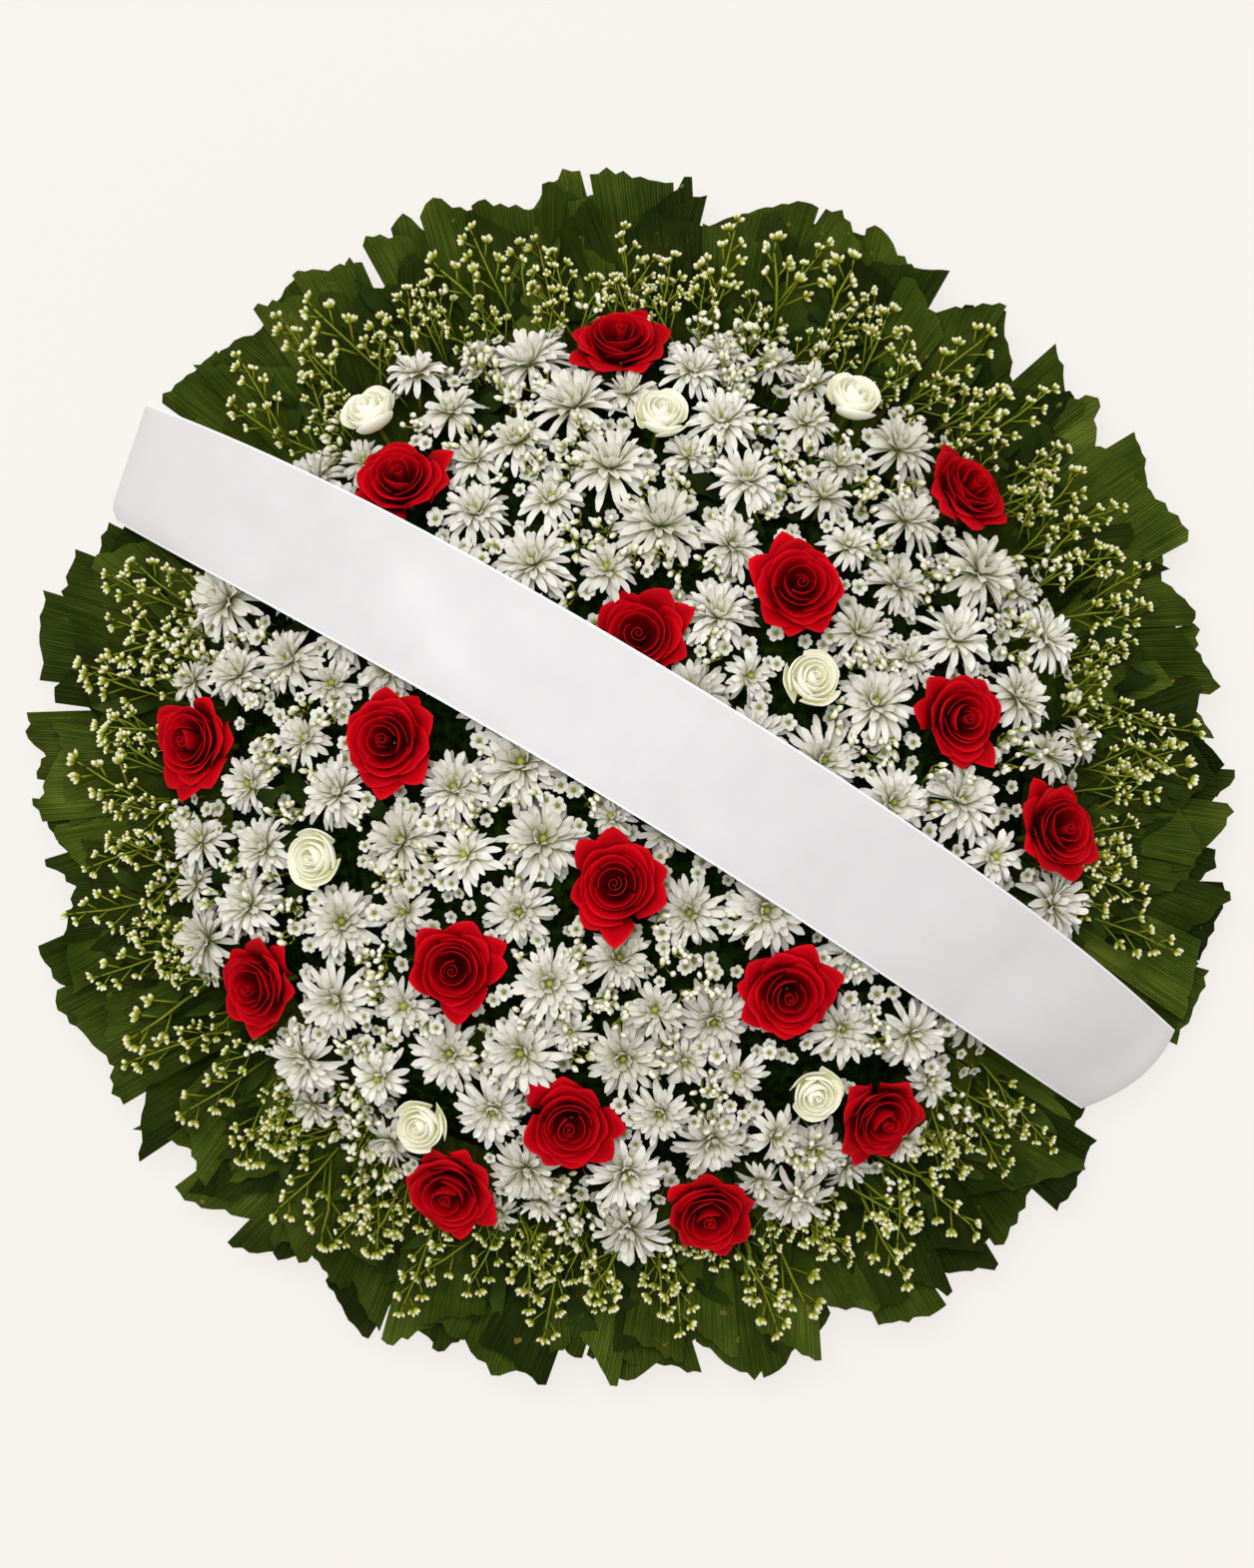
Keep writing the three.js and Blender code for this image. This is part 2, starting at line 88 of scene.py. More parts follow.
# the large box overhead only lights, the small one at the side also gives the satin its sheen
key = addSoftbox("key", light["keyPlace"], light["keySize"], light["key"])
key.visible_glossy = False
addSoftbox("side", light["sidePlace"], light["sideSize"], light["side"])
print("camera and light")

# materials


def newMaterial(name, color, roughness, **sockets):
    material = bpy.data.materials.new(name)
    material.use_nodes = True
    shader = material.node_tree.nodes["Principled BSDF"]
    shader.inputs["Base Color"].default_value = (*color, 1)
    shader.inputs["Roughness"].default_value = roughness
    for socket, value in sockets.items():
        shader.inputs[socket.replace("_", " ")].default_value = value
    return material, material.node_tree, shader


def ramped(tree, value, stops):
    # the value picks a colour between the stops
    ramp = tree.nodes.new("ShaderNodeValToRGB")
    elements = ramp.color_ramp.elements
    for element, (place, color) in ((elements[0], stops[0]), (elements[1], stops[-1])):
        element.position = place
        element.color = (*color, 1)
    for place, color in stops[1:-1]:
        elements.new(place).color = (*color, 1)
    tree.links.new(value, ramp.inputs["Fac"])
    return ramp.outputs["Color"]


def mixed(tree, first, second, factor, kind="RGBA", blend="MIX"):
    # each of the three is another node's output or a fixed value
    mix = tree.nodes.new("ShaderNodeMix")
    mix.data_type = kind
    mix.blend_type = blend
    for socket, value in (("A", first), ("B", second), ("Factor", factor)):
        if isinstance(value, bpy.types.NodeSocket):
            tree.links.new(value, mix.inputs[socket])
        else:
            mix.inputs[socket].default_value = value
    return mix.outputs["Result"]


def multiplied(tree, first, second):
    return mixed(tree, first, second, 1, blend="MULTIPLY")


def coordsOf(tree, source):
    return tree.nodes.new("ShaderNodeTexCoord").outputs[source]


def noiseOf(tree, scale, detail, source="Object", stretch=None):
    texture = tree.nodes.new("ShaderNodeTexNoise")
    texture.inputs["Scale"].default_value = scale
    texture.inputs["Detail"].default_value = detail
    coords = coordsOf(tree, source)
    if stretch:
        mapping = tree.nodes.new("ShaderNodeMapping")
        mapping.inputs["Scale"].default_value = stretch
        tree.links.new(coords, mapping.inputs["Vector"])
        coords = mapping.outputs["Vector"]
    tree.links.new(coords, texture.inputs["Vector"])
    return texture.outputs["Fac"]


def bandsOf(tree, direction, scale, distortion, detail):
    bands = tree.nodes.new("ShaderNodeTexWave")
    bands.wave_type = "BANDS"
    bands.bands_direction = direction
    bands.inputs["Scale"].default_value = scale
    bands.inputs["Distortion"].default_value = distortion
    bands.inputs["Detail"].default_value = detail
    tree.links.new(coordsOf(tree, "UV"), bands.inputs["Vector"])
    return bands.outputs["Fac"]


def uvPart(tree, axis):
    split = tree.nodes.new("ShaderNodeSeparateXYZ")
    tree.links.new(coordsOf(tree, "UV"), split.inputs[0])
    return split.outputs[axis]


def bump(tree, height, shader, strength, distance):
    node = tree.nodes.new("ShaderNodeBump")
    node.inputs["Strength"].default_value = strength
    node.inputs["Distance"].default_value = distance
    tree.links.new(height, node.inputs["Height"])
    tree.links.new(node.outputs["Normal"], shader.inputs["Normal"])


def toneOf(tree, low, high):
    # each copy of a flower or leaf carries its own tone from 0 to 1
    tone = tree.nodes.new("ShaderNodeAttribute")
    tone.attribute_name = "tone"
    return ramped(tree, tone.outputs["Fac"], [(0, low), (1, high)])


petalPattern = {
    # scale, detail and, for the streaks, the map and its stretch
    "patches": (55, 3), "streaks": (9, 2, "UV", (4, 0.5, 1)), "patchEdges": (0.3, 0.7), "depth": 0.001}


def petalMaterial(name, stops, roughness=0.5, patchy=0.08, streaks=0.1, low=(0.9, 0.9, 0.88), **sockets):
    # colour runs from the petal's root to its tip, with patches and fine lengthwise streaks
    material, tree, shader = newMaterial(name, stops[-1][1], roughness, **sockets)
    color = ramped(tree, uvPart(tree, "Y"), stops)
    start, end = petalPattern["patchEdges"]
    patches = noiseOf(tree, *petalPattern["patches"])
    color = multiplied(tree, color, ramped(tree, patches, [(start, (1 - patchy,) * 3), (end, (1, 1, 1))]))
    color = multiplied(tree, color, toneOf(tree, low, (1, 1, 1)))
    tree.links.new(color, shader.inputs["Base Color"])
    bump(tree, noiseOf(tree, *petalPattern["streaks"]), shader, streaks, petalPattern["depth"])
    return material


# white petals: the greenish root is partly the petals' own colour and partly painted shade deep in the head, and
# the greyer copies, given at random through the tone, are painted shade standing for heads that lie in shade
whitePetal = petalMaterial(
    "white petal", [(0.0, (0.24, 0.28, 0.06)), (0.24, (0.64, 0.64, 0.42)), (0.5, (0.97, 0.945, 0.865))],
    roughness=0.45, patchy=0.1, streaks=0.4, low=(0.8, 0.79, 0.74), Specular_IOR_Level=0.2,
    Subsurface_Weight=0.18, Subsurface_Radius=(0.005, 0.0048, 0.004), Subsurface_Scale=1.0)
# red petals: the near-black root is painted shade where the petals overlap deep in the rose, and the bright tip
# is partly the petals' own lighter edge and partly a painted highlight
redPetal = petalMaterial(
    "red rose petal", [(0.0, (0.035, 0.0, 0.001)), (0.55, (0.22, 0.0, 0.003)), (0.88, (0.52, 0.0, 0.005)),
                       (1.0, (0.76, 0.004, 0.012))],
    patchy=0.22, streaks=0.35, low=(0.78, 0.78, 0.78), Specular_IOR_Level=0.04)
# cream rose petals: the darker yellow-green root is partly the petals' own tint and partly painted shade, and
# the faint emission is a painted glow that brightens them
creamPetal = petalMaterial(
    "cream rose petal", [(0.0, (0.58, 0.6, 0.24)), (0.42, (0.92, 0.91, 0.66)), (0.7, (0.97, 0.95, 0.84))],
    patchy=0.03, low=(0.97, 0.97, 0.94), Specular_IOR_Level=0.15,
    Emission_Color=(0.9, 0.88, 0.62, 1), Emission_Strength=0.06)
budWhite = petalMaterial(
    "bud", [(0.0, (0.16, 0.2, 0.008)), (0.5, (0.32, 0.34, 0.02)), (0.7, (0.7, 0.67, 0.3)),
            (0.9, (0.95, 0.92, 0.77))], Specular_IOR_Level=0.1)
gapBud = petalMaterial(
    "white bud", [(0.0, (0.3, 0.34, 0.06)), (0.4, (0.7, 0.68, 0.36)), (0.7, (0.93, 0.9, 0.78))],
    Specular_IOR_Level=0.1)
greenStem = petalMaterial(
    "young stem", [(0.0, (0.035, 0.055, 0.004)), (0.6, (0.19, 0.23, 0.012)), (1.0, (0.32, 0.34, 0.03))],
    patchy=0.25, Specular_IOR_Level=0.06)
eyeYellow = petalMaterial(
    "flower eye", [(0.0, (0.2, 0.25, 0.02)), (1.0, (0.5, 0.5, 0.08))], roughness=0.7, patchy=0.3, streaks=0.5)
smallLeaf = petalMaterial(
    "small leaf", [(0.0, (0.008, 0.018, 0.002)), (1.0, (0.024, 0.046, 0.005))],
    patchy=0.4, streaks=0.6, low=(0.5, 0.5, 0.5), Specular_IOR_Level=0.05)
sprigLeaf = petalMaterial(
    "sprig leaf", [(0.0, (0.015, 0.03, 0.003)), (1.0, (0.06, 0.095, 0.01))],
    patchy=0.4, streaks=0.6, low=(0.4, 0.4, 0.4), Specular_IOR_Level=0.06)


def collarLeafMaterial():
    material, tree, shader = newMaterial("collar leaf", (0.04, 0.06, 0.01), 0.45, Specular_IOR_Level=0.05)
    veins = bandsOf(tree, "X", 9, 2.5, 2)
    green = mixed(tree, noiseOf(tree, 16, 3), noiseOf(tree, 24, 4, "UV", (3, 0.12, 1)), 0.55, kind="FLOAT")
    color = ramped(tree, green, [
        (0.34, (0.014, 0.024, 0.002)), (0.5, (0.04, 0.064, 0.006)), (0.68, (0.11, 0.145, 0.02))])
    color = multiplied(tree, color, ramped(tree, veins, [(0.0, (0.62, 0.64, 0.58)), (0.5, (1.0, 1.0, 1.0))]))
    # each leaf's tone, given at random, is partly the leaves' own differences and partly painted light and
    # shade: much darker and lighter copies standing for blades turned from or towards the light
    color = multiplied(tree, color, toneOf(tree, (0.34, 0.36, 0.34), (1.7, 1.58, 1.45)))
    # dry yellowish flecks
    flecks = ramped(tree, noiseOf(tree, 70, 3), [(0.7, (0, 0, 0)), (0.76, (1, 1, 1))])
    tree.links.new(mixed(tree, color, (0.2, 0.16, 0.03, 1), flecks), shader.inputs["Base Color"])
    bump(tree, veins, shader, 0.7, 0.0015)
    return material


def satinMaterial():
    material, tree, shader = newMaterial("white satin", (0.66, 0.65, 0.65), 0.27, Specular_IOR_Level=0.4)
    weave = bandsOf(tree, "Y", 260, 1.5, 2)
    slub = noiseOf(tree, 3, 2, "UV", (1, 12, 1))
    cloth = ramped(tree, slub, [(0.25, (0.635, 0.627, 0.629)), (0.75, (0.67, 0.661, 0.663))])
    # both long edges are painted lighter in a narrow strip: a painted highlight where the edges catch the light
    black, white = (0, 0, 0), (1, 1, 1)
    edgeHighlight = ramped(tree, uvPart(tree, "X"), [
        (0.0, white), (0.014, white), (0.018, black), (0.982, black), (0.986, white), (1.0, white)])
    tree.links.new(mixed(tree, cloth, (0.82, 0.82, 0.82, 1), edgeHighlight), shader.inputs["Base Color"])
    bump(tree, weave, shader, 0.04, 0.0002)
    return material


def grainMaterial(name, color, roughness, pattern, stops, relief=None, **sockets):
    # one noise pattern gives both the colours and the relief
    material, tree, shader = newMaterial(name, color, roughness, **sockets)
    grain = noiseOf(tree, *pattern)
    tree.links.new(ramped(tree, grain, stops), shader.inputs["Base Color"])
    if relief:
        bump(tree, grain, shader, *relief)
    return material


def woodMaterial(name, stretch):
    return grainMaterial(
        name, (0.6, 0.42, 0.22), 0.75, (1, 6, "Object", stretch),
        [(0.34, (0.33, 0.2, 0.085)), (0.46, (0.52, 0.36, 0.18)), (0.64, (0.66, 0.49, 0.28))], (0.5, 0.0012),
        Specular_IOR_Level=0.2)


collarLeaf = collarLeafMaterial()
satin = satinMaterial()
crossPine = woodMaterial("pine across", (7, 150, 150))
uprightPine = woodMaterial("pine upright", (150, 7, 150))
straw = grainMaterial(
    "bound straw", (0.5, 0.38, 0.16), 0.85, (1, 6, "Object", (420, 22, 420)),
    [(0.3, (0.16, 0.1, 0.035)), (0.5, (0.46, 0.34, 0.13)), (0.72, (0.72, 0.58, 0.28))], (1.0, 0.004))
steel = grainMaterial(
    "zinc wire", (0.5, 0.51, 0.52), 0.4, (350, 2), [(0.3, (0.36, 0.37, 0.38)), (0.7, (0.62, 0.63, 0.64))],
    Metallic=1.0)
moss = grainMaterial(
    "moss", (0.012, 0.02, 0.003), 0.9, (130, 6),
    [(0.35, (0.002, 0.004, 0.001)), (0.6, (0.008, 0.018, 0.002)), (0.8, (0.02, 0.04, 0.005))], (1.0, 0.006),
    Specular_IOR_Level=0.0)

floorMaterial, floorTree, floorShader = newMaterial(
    "paper floor", paper["color"], paper["roughness"], Specular_IOR_Level=0.0)
floorShader.inputs["Emission Color"].default_value = (*paper["glow"], 1)
floorShader.inputs["Emission Strength"].default_value = 1
bpy.ops.mesh.primitive_plane_add(size=paper["size"], location=(0, 0, -paper["below"]))
floor = bpy.context.object
floor.name = "floor"
floor.data.materials.append(floorMaterial)
print("materials and floor")

# modelling helpers, which take their sizes in millimetres


def sheetShape(name, across, along, place, thickness, material):
    # a grid bent to place(u, v), u from -1 to 1 across and v from 0 to 1 along, given a wall and smoothed
    deselectAll()
    bpy.ops.mesh.primitive_grid_add(x_subdivisions=across, y_subdivisions=along, size=2)
    piece = bpy.context.object
    piece.name = name
    for vertex in piece.data.vertices:
        vertex.co = place(vertex.co.x, (vertex.co.y + 1) / 2) * mm
    wall = piece.modifiers.new("wall", "SOLIDIFY")
    wall.thickness = thickness * mm
    wall.offset = 0
    bpy.ops.object.modifier_apply(modifier="wall")
    bpy.ops.object.shade_smooth_by_angle(angle=math.radians(50))
    piece.data.materials.append(material)
    return piece


def addTube(name, points, radii, sides, material):
    # a round stem through the points: a short cylinder is cut into rings, and each ring moves to its point
    deselectAll()
    bpy.ops.mesh.primitive_cylinder_add(vertices=sides, radius=1, depth=1, end_fill_type="NGON")
    piece = bpy.context.object
    piece.name = name
    mesh = piece.data
    last = len(points) - 1
    bpy.ops.object.mode_set(mode="EDIT")
    for cut in range(1, last):
        bpy.ops.mesh.select_all(action="SELECT")
        bpy.ops.mesh.bisect(plane_co=(0, 0, -0.5 + cut / last), plane_no=(0, 0, 1))
    bpy.ops.object.mode_set(mode="OBJECT")
    points = [point * mm for point in points]
    rings = []
    right = None
    for i, point in enumerate(points):
        along = (points[min(last, i + 1)] - points[max(0, i - 1)]).normalized()
        if right is None:
            right = along.orthogonal().normalized()
        right = (right - along * right.dot(along)).normalized()
        rings.append((point, right, along.cross(right)))
    station = {}
    for vertex in mesh.vertices:
        i = round((vertex.co.z + 0.5) * last)
        station[vertex.index] = (math.atan2(vertex.co.y, vertex.co.x) / math.tau + 0.5, i / last)
        point, right, ahead = rings[i]
        vertex.co = point + (right * vertex.co.x + ahead * vertex.co.y) * (radii[i] * mm)
    uvs = mesh.uv_layers.active.data
    for loop in mesh.loops:
        uvs[loop.index].uv = station[loop.vertex_index]
    bpy.ops.object.shade_smooth()
    mesh.materials.append(material)
    return piece


def finishBall(material):
    # the sphere just added gets its place in its mesh
    ball = bpy.context.object
    bpy.ops.object.transform_apply(location=True, rotation=False, scale=False)
    bpy.ops.object.shade_smooth()
    ball.data.materials.append(material)
    return ball


def turned(deg, axis):
    return Matrix.Rotation(math.radians(deg), 4, axis)


def eitherWay(rng, most):
    return rng.uniform(-most, most)


def setTone(piece, value):
    mesh = piece.data
    tone = mesh.attributes.get("tone") or mesh.attributes.new("tone", "FLOAT", "POINT")
    tone.data.foreach_set("value", [value] * len(mesh.vertices))
    return piece


def copyOf(source, matrix, tone=None):
    # without a tone of its own a copy keeps its source's
    copy = source.copy()
    copy.data = source.data.copy()
    copy.data.transform(matrix)
    bpy.context.collection.objects.link(copy)
    if tone is not None:
        setTone(copy, tone)
    return copy


def joinAs(name, pieces):
    deselectAll()
    for piece in pieces:
        piece.select_set(True)
    bpy.context.view_layer.objects.active = pieces[0]
    if len(pieces) > 1:
        bpy.ops.object.join()
    joined = bpy.context.view_layer.objects.active
    joined.name = name
    joined.data.name = name
    return joined


def standFor(piece, slot, *nodes):
    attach(piece, "root")
    if nodes:
        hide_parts(*nodes)


def discard(*pieces):
    for piece in pieces:
        bpy.data.objects.remove(piece, do_unlink=True)


def bezier(points, t):
    s = 1 - t
    return points[0] * s ** 3 + points[1] * 3 * s * s * t + points[2] * 3 * s * t * t + points[3] * t ** 3


def polar(clockDeg, radius, height=0.0):
    clock = math.radians(clockDeg)
    return Vector((radius * math.cos(clock), radius * math.sin(clock), height))


# where the flowers stand: the mound of flower faces is part of an ellipsoid

dome = {"radius": 405, "rise": 175, "foot": 40, "widest": 0.97}


def placeOnDome(x, y, lift=0.0):
    share = min(dome["widest"], (x * x + y * y) / dome["radius"] ** 2)
    height = dome["rise"] * math.sqrt(1 - share)
    axis = Vector((x / dome["radius"] ** 2, y / dome["radius"] ** 2, height / dome["rise"] ** 2)).normalized()
    return Vector((x, y, dome["foot"] + height)) + axis * lift, axis


def standOnDome(x, y, lift, spinDeg, lean=(0.0, 0.0), size=1.0):
    point, axis = placeOnDome(x, y, lift)
    leaning = (axis + Vector((lean[0], lean[1], 0))).normalized()
    upright = zUp.rotation_difference(leaning).to_matrix().to_4x4()
    return Matrix.Translation(point * mm) @ upright @ turned(spinDeg, "Z") @ Matrix.Scale(size, 4)


# angle, distance from the middle and lift of each rose
redRoses = [
    (91, 354, 0), (127, 301, 0), (40.4, 362, 0), (48.7, 204, 2), (85.7, 115, -9), (10.2, 269, 2),
    (175, 352, 0), (170.7, 192, 3), (-6.5, 350, 0), (-97, 82, 5), (-132.7, 202, 3), (-53.3, 211, 3),
    (-151, 342, 0), (-99.5, 277, 2), (-53.1, 340, 0), (-113.4, 362, 0), (-79.4, 356, 0)]
whiteRoses = [
    (125.1, 362, 3), (84.8, 292, 4), (59.5, 357, 2), (28.7, 165, 5), (-166.1, 255, 4), (-121, 320, 4),
    (-59.2, 290, 4)]
headLayout = {
    "count": 104, "sizes": [39, 33, 28, 33, 39, 30, 36], "reach": 372, "crowding": 0.82,
    # how far heads keep off each kind of rose, how hard a rose and a head push, and how often
    "redRose": 42 * 0.86, "whiteRose": 26 * 0.98, "rosePush": 0.7, "headPush": 0.35, "steps": 90,
    # each band's outer radius, number of sprays and first angle
    "bands": [(112, 1, 0), (245, 4, 20), (373, 7, 5)]}


def spreadHeads():
    # heads start on a sunflower spiral and push each other, and themselves, clear of the roses
    spots = [(polar(clock, radius), headLayout["redRose"], lift) for clock, radius, lift in redRoses]
    spots += [(polar(clock, radius), headLayout["whiteRose"], lift) for clock, radius, lift in whiteRoses]
    push, headPush = headLayout["rosePush"], headLayout["headPush"]
    roses = [(placeOnDome(spot.x, spot.y, lift)[0], keep, push) for spot, keep, lift in spots]
    count, reach, sizes = headLayout["count"], headLayout["reach"], headLayout["sizes"]
    heads = []
    for i in range(count):
        radius = reach * math.sqrt((i + 0.5) / count)
        size = sizes[i % len(sizes)]
        heads.append({"x": radius * math.cos(i * goldenAngle), "y": radius * math.sin(i * goldenAngle),
                      "size": size, "keep": size * headLayout["crowding"]})
    for step in range(headLayout["steps"]):
        places = [placeOnDome(head["x"], head["y"])[0] for head in heads]
        for i, head in enumerate(heads):
            others = roses + [(places[j], heads[j]["keep"], headPush) for j in range(count) if j != i]
            for place, keep, push in others:
                apart = (places[i] - place).length
                short = head["keep"] + keep - apart
                if short > 0:
                    head["x"] += (places[i].x - place.x) / apart * short * push
                    head["y"] += (places[i].y - place.y) / apart * short * push
            over = math.hypot(head["x"], head["y"]) / reach
            if over > 1:
                head["x"] /= over
                head["y"] /= over
    return heads


def sectorOf(head, firstDeg, sectors):
    clock = math.degrees(math.atan2(head["y"], head["x"]))
    return int(((clock - firstDeg + 720) % 360) * sectors / 360)


def sprayGroups(heads):
    groups = []
    inner = 0
    for outer, sectors, firstDeg in headLayout["bands"]:
        band = [head for head in heads if inner <= math.hypot(head["x"], head["y"]) < outer]
        for sector in range(sectors):
            groups.append([head for head in band if sectorOf(head, firstDeg, sectors) == sector])
        inner = outer
    return groups


# the sash's run across the mound, which the flowers keep clear of

sashPlan = {
    "width": 112, "endWidth": 96, "clock": -31.9, "offset": 35, "bow": 24, "bowMiddle": 50, "lift": 19,
    "shoulder": 338, "crease": 495, "creaseTop": 62, "creaseLow": 42, "creaseBulge": 1.5, "thickness": 0.5,
    "tailHeight": 17.6, "tailTurn": 364, "tailEnd": 282,
    # how each end is cut: slant radius, bulge, set back, corner
    "left": (2100, 0, 4, 9), "right": (1500, 12, 17.5, 0)}
# how near its edge a flower counts as under it or beside it, and the room that sprigs and their leaves keep
sashRoom = {"under": 8, "beside": 34, "sprig": 9}


def sashOffset(reach):
    return sashPlan["offset"] - sashPlan["bow"] * ((reach - sashPlan["bowMiddle"]) / sashPlan["crease"]) ** 2


def underSash(x, y, margin):
    run = math.radians(sashPlan["clock"])
    along, across = x * math.cos(run) + y * math.sin(run), y * math.cos(run) - x * math.sin(run)
    return abs(across - sashOffset(along)) < sashPlan["width"] / 2 + margin


redPlaces = [placeOnDome(*polar(clock, radius).xy)[0] for clock, radius, lift in redRoses]
whitePlaces = [placeOnDome(*polar(clock, radius).xy)[0] for clock, radius, lift in whiteRoses]
heads = spreadHeads()
print("flower places")

# chrysanthemums: whorls of spoon-shaped petals that cup a small eye

largeHead = {"reach": 41, "eye": 3.6, "whorls": [
    # petals, root radius, root height, bulge radius, bulge height, tip radius, tip height, width, cells along
    (17, 4, -1, 22, 6, 42, -9, 6.6, 4), (15, 4, 1, 21, 11, 38, 6, 6.8, 4), (12, 4, 2, 18, 15, 30, 18, 7.0, 4),
    (9, 3.5, 3, 13, 14, 20, 26, 7.0, 4), (6, 3, 4, 9, 11, 10, 22, 6.6, 3)]}
smallHead = {"reach": 32.5, "eye": 3.6, "whorls": [
    (14, 3.5, -1, 17, 5, 33, -7, 6.2, 4), (12, 3.5, 1, 16, 9, 28, 7, 6.4, 4),
    (8, 3, 3, 13, 11, 19, 17, 6.6, 3), (5, 2.5, 4, 9, 8, 10, 17, 6.4, 3)]}
headPetal = {
    "thickness": 0.6, "cup": 0.16, "cupMore": 0.07, "stretch": (0.76, 1.06), "drop": (-4.5, 4),
    "width": (0.84, 1.12), "bend": 5, "twist": 2, "aside": 11, "eyeHeight": 5.5, "stalk": (1.6, 1.7, 3.4)}
headStand = {
    "large": 33, "size": (0.88, 1.06), "under": -14, "underEnd": -27, "endFrom": 290, "lowest": -16,
    "besideHighest": -7, "highest": 1, "roseRoom": 70,
    # lean up the standing wreath: most, beside the sash, where it starts, over what way, and looseness
    "lean": 0.34, "leanBeside": 0.06, "leanFoot": -330, "leanRun": 260, "across": 0.28,
    "upward": (-0.18, 0.2)}


def petalPlace(curve, width, cup, bend, twist):
    root, bulge, tip = curve

    def place(u, v):
        v = 1 - (1 - v) ** 1.35
        s = 1 - v
        center = root * s * s + bulge * 2 * s * v + tip * v * v
        # narrow at the root, full width from 0.6 on and round at the tip
        if v < 0.82:
            swell = 0.45 + 0.55 * math.sin(math.pi / 2 * min(1, v / 0.6))
        else:
            swell = math.sqrt(1 - ((v - 0.82) / 0.2) ** 2)
        rise = cup * width * u * u * swell + twist * u * v
        out = center.x - 0.22 * width * u * u * v ** 6
        return Vector((out, u * (width / 2 * swell) + bend * v * v, center.z + rise))

    return place


def chrysanthemumHead(name, plan, seed):
    rng = random.Random(seed)
    petals = []
    for whorl, (count, r0, z0, r1, z1, r2, z2, width, along) in enumerate(plan["whorls"]):
        turn = rng.uniform(0, 360)
        for i in range(count):
            stretch = rng.uniform(*headPetal["stretch"])
            drop = rng.uniform(*headPetal["drop"])
            curve = (Vector((r0, 0, z0)), Vector((r1 * stretch, 0, z1 + drop * 0.3)),
                     Vector((r2 * stretch, 0, z2 + drop)))
            wide, cup = width * rng.uniform(*headPetal["width"]), headPetal["cup"] + headPetal["cupMore"] * whorl
            bend, twist = eitherWay(rng, headPetal["bend"]), eitherWay(rng, headPetal["twist"])
            place = petalPlace(curve, wide, cup, bend, twist)
            petal = sheetShape("petal", 2, along, place, headPetal["thickness"], whitePetal)
            angle = turn + i * 360 / count + eitherWay(rng, headPetal["aside"])
            petal.data.transform(turned(angle, "Z"))
            petals.append(petal)
    deselectAll()
    bpy.ops.mesh.primitive_uv_sphere_add(
        segments=10, ring_count=6, radius=plan["eye"] * mm, location=(0, 0, headPetal["eyeHeight"] * mm))
    eye = finishBall(eyeYellow)
    stalk = addTube("stalk", [Vector((0, 0, -44)), Vector((1, 0.5, -20)), Vector((0, 0, 2))],
                    headPetal["stalk"], 5, greenStem)
    return joinAs(name, petals + [eye, stalk])


def upwardLean(x, y, rng):
    # flowers turn a little towards the top of the standing wreath, least at its foot and beside the sash
    if underSash(x, y, sashRoom["under"]):
        return 0, 0
    if underSash(x, y, sashRoom["beside"]):
        upward = headStand["leanBeside"]
    else:
        upward = headStand["lean"] * max(0.0, min(1.0, (y - headStand["leanFoot"]) / headStand["leanRun"]))
    return eitherWay(rng, headStand["across"]), upward + rng.uniform(*headStand["upward"])


def headLift(x, y, rng):
    # heads are pressed down by the sash and stand a little lower beside it and beside red roses
    if underSash(x, y, sashRoom["under"]):
        return headStand["under"] if math.hypot(x, y) < headStand["endFrom"] else headStand["underEnd"]
    place = placeOnDome(x, y)[0]
    nearRose = any((place - rose).length < headStand["roseRoom"] for rose in redPlaces)
    low = nearRose or underSash(x, y, sashRoom["beside"])
    return rng.uniform(headStand["lowest"], headStand["besideHighest"] if low else headStand["highest"])


largeHeads = [chrysanthemumHead("largeHead", largeHead, seed) for seed in (3, 8, 15)]
smallHeads = [chrysanthemumHead("smallHead", smallHead, seed) for seed in (4, 9)]
rng = random.Random(21)
for number, group in enumerate(sprayGroups(heads), 1):
    blooms = []
    for head in group:
        x, y = head["x"], head["y"]
        large = head["size"] >= headStand["large"]
        source = rng.choice(largeHeads if large else smallHeads)
        size = head["size"] / (largeHead if large else smallHead)["reach"] * rng.uniform(*headStand["size"])
        lift = headLift(x, y, rng)
        lean = upwardLean(x, y, rng)
        blooms.append(copyOf(source, standOnDome(x, y, lift, rng.uniform(0, 360), lean, size), rng.random()))
    spray = joinAs(f"chrysanthemumSpray-{number:02d}", blooms)
    standFor(spray, "white_petals", f"chrysanthemum_spray_{number:02d}")
print("chrysanthemums")

# smaller blooms of the same sprays fill the wider gaps

headPlaces = [(placeOnDome(head["x"], head["y"])[0], head["size"] * 0.66) for head in heads]
fillHeads = {
    "tries": 900, "reach": 376, "seed": 23, "redRoom": 46, "whiteRoom": 34, "headRoom": 17, "apart": 40,
    "sashRoom": 4, "lift": (-17, -9), "size": (0.62, 0.82), "keep": 14}


def freeSpots(plan):
    # spots on the mound that keep clear of roses, heads, the sash and, where the plan says so, of each other
    rng = random.Random(plan["seed"])
    keepOff = [(place, plan["redRoom"]) for place in redPlaces]
    keepOff += [(place, plan["whiteRoom"]) for place in whitePlaces]
    keepOff += [(place, keep + plan["headRoom"]) for place, keep in headPlaces]
    spots = []
    for i in range(plan["tries"]):
        radius = plan["reach"] * math.sqrt((i + 0.5) / plan["tries"])
        clock = i * goldenAngle + rng.uniform(-0.2, 0.2)
        x = radius * math.cos(clock) + eitherWay(rng, 6)
        y = radius * math.sin(clock) + eitherWay(rng, 6)
        point = placeOnDome(x, y)[0]
        crowded = any((point - place).length <= keep for place, keep in keepOff)
        if crowded or underSash(x, y, plan["sashRoom"]):
            continue
        spots.append((x, y))
        if plan["apart"]:
            keepOff.append((point, plan["apart"]))
    return spots


def quarterOf(x, y):
    return (x > 0) + 2 * (y > 0)


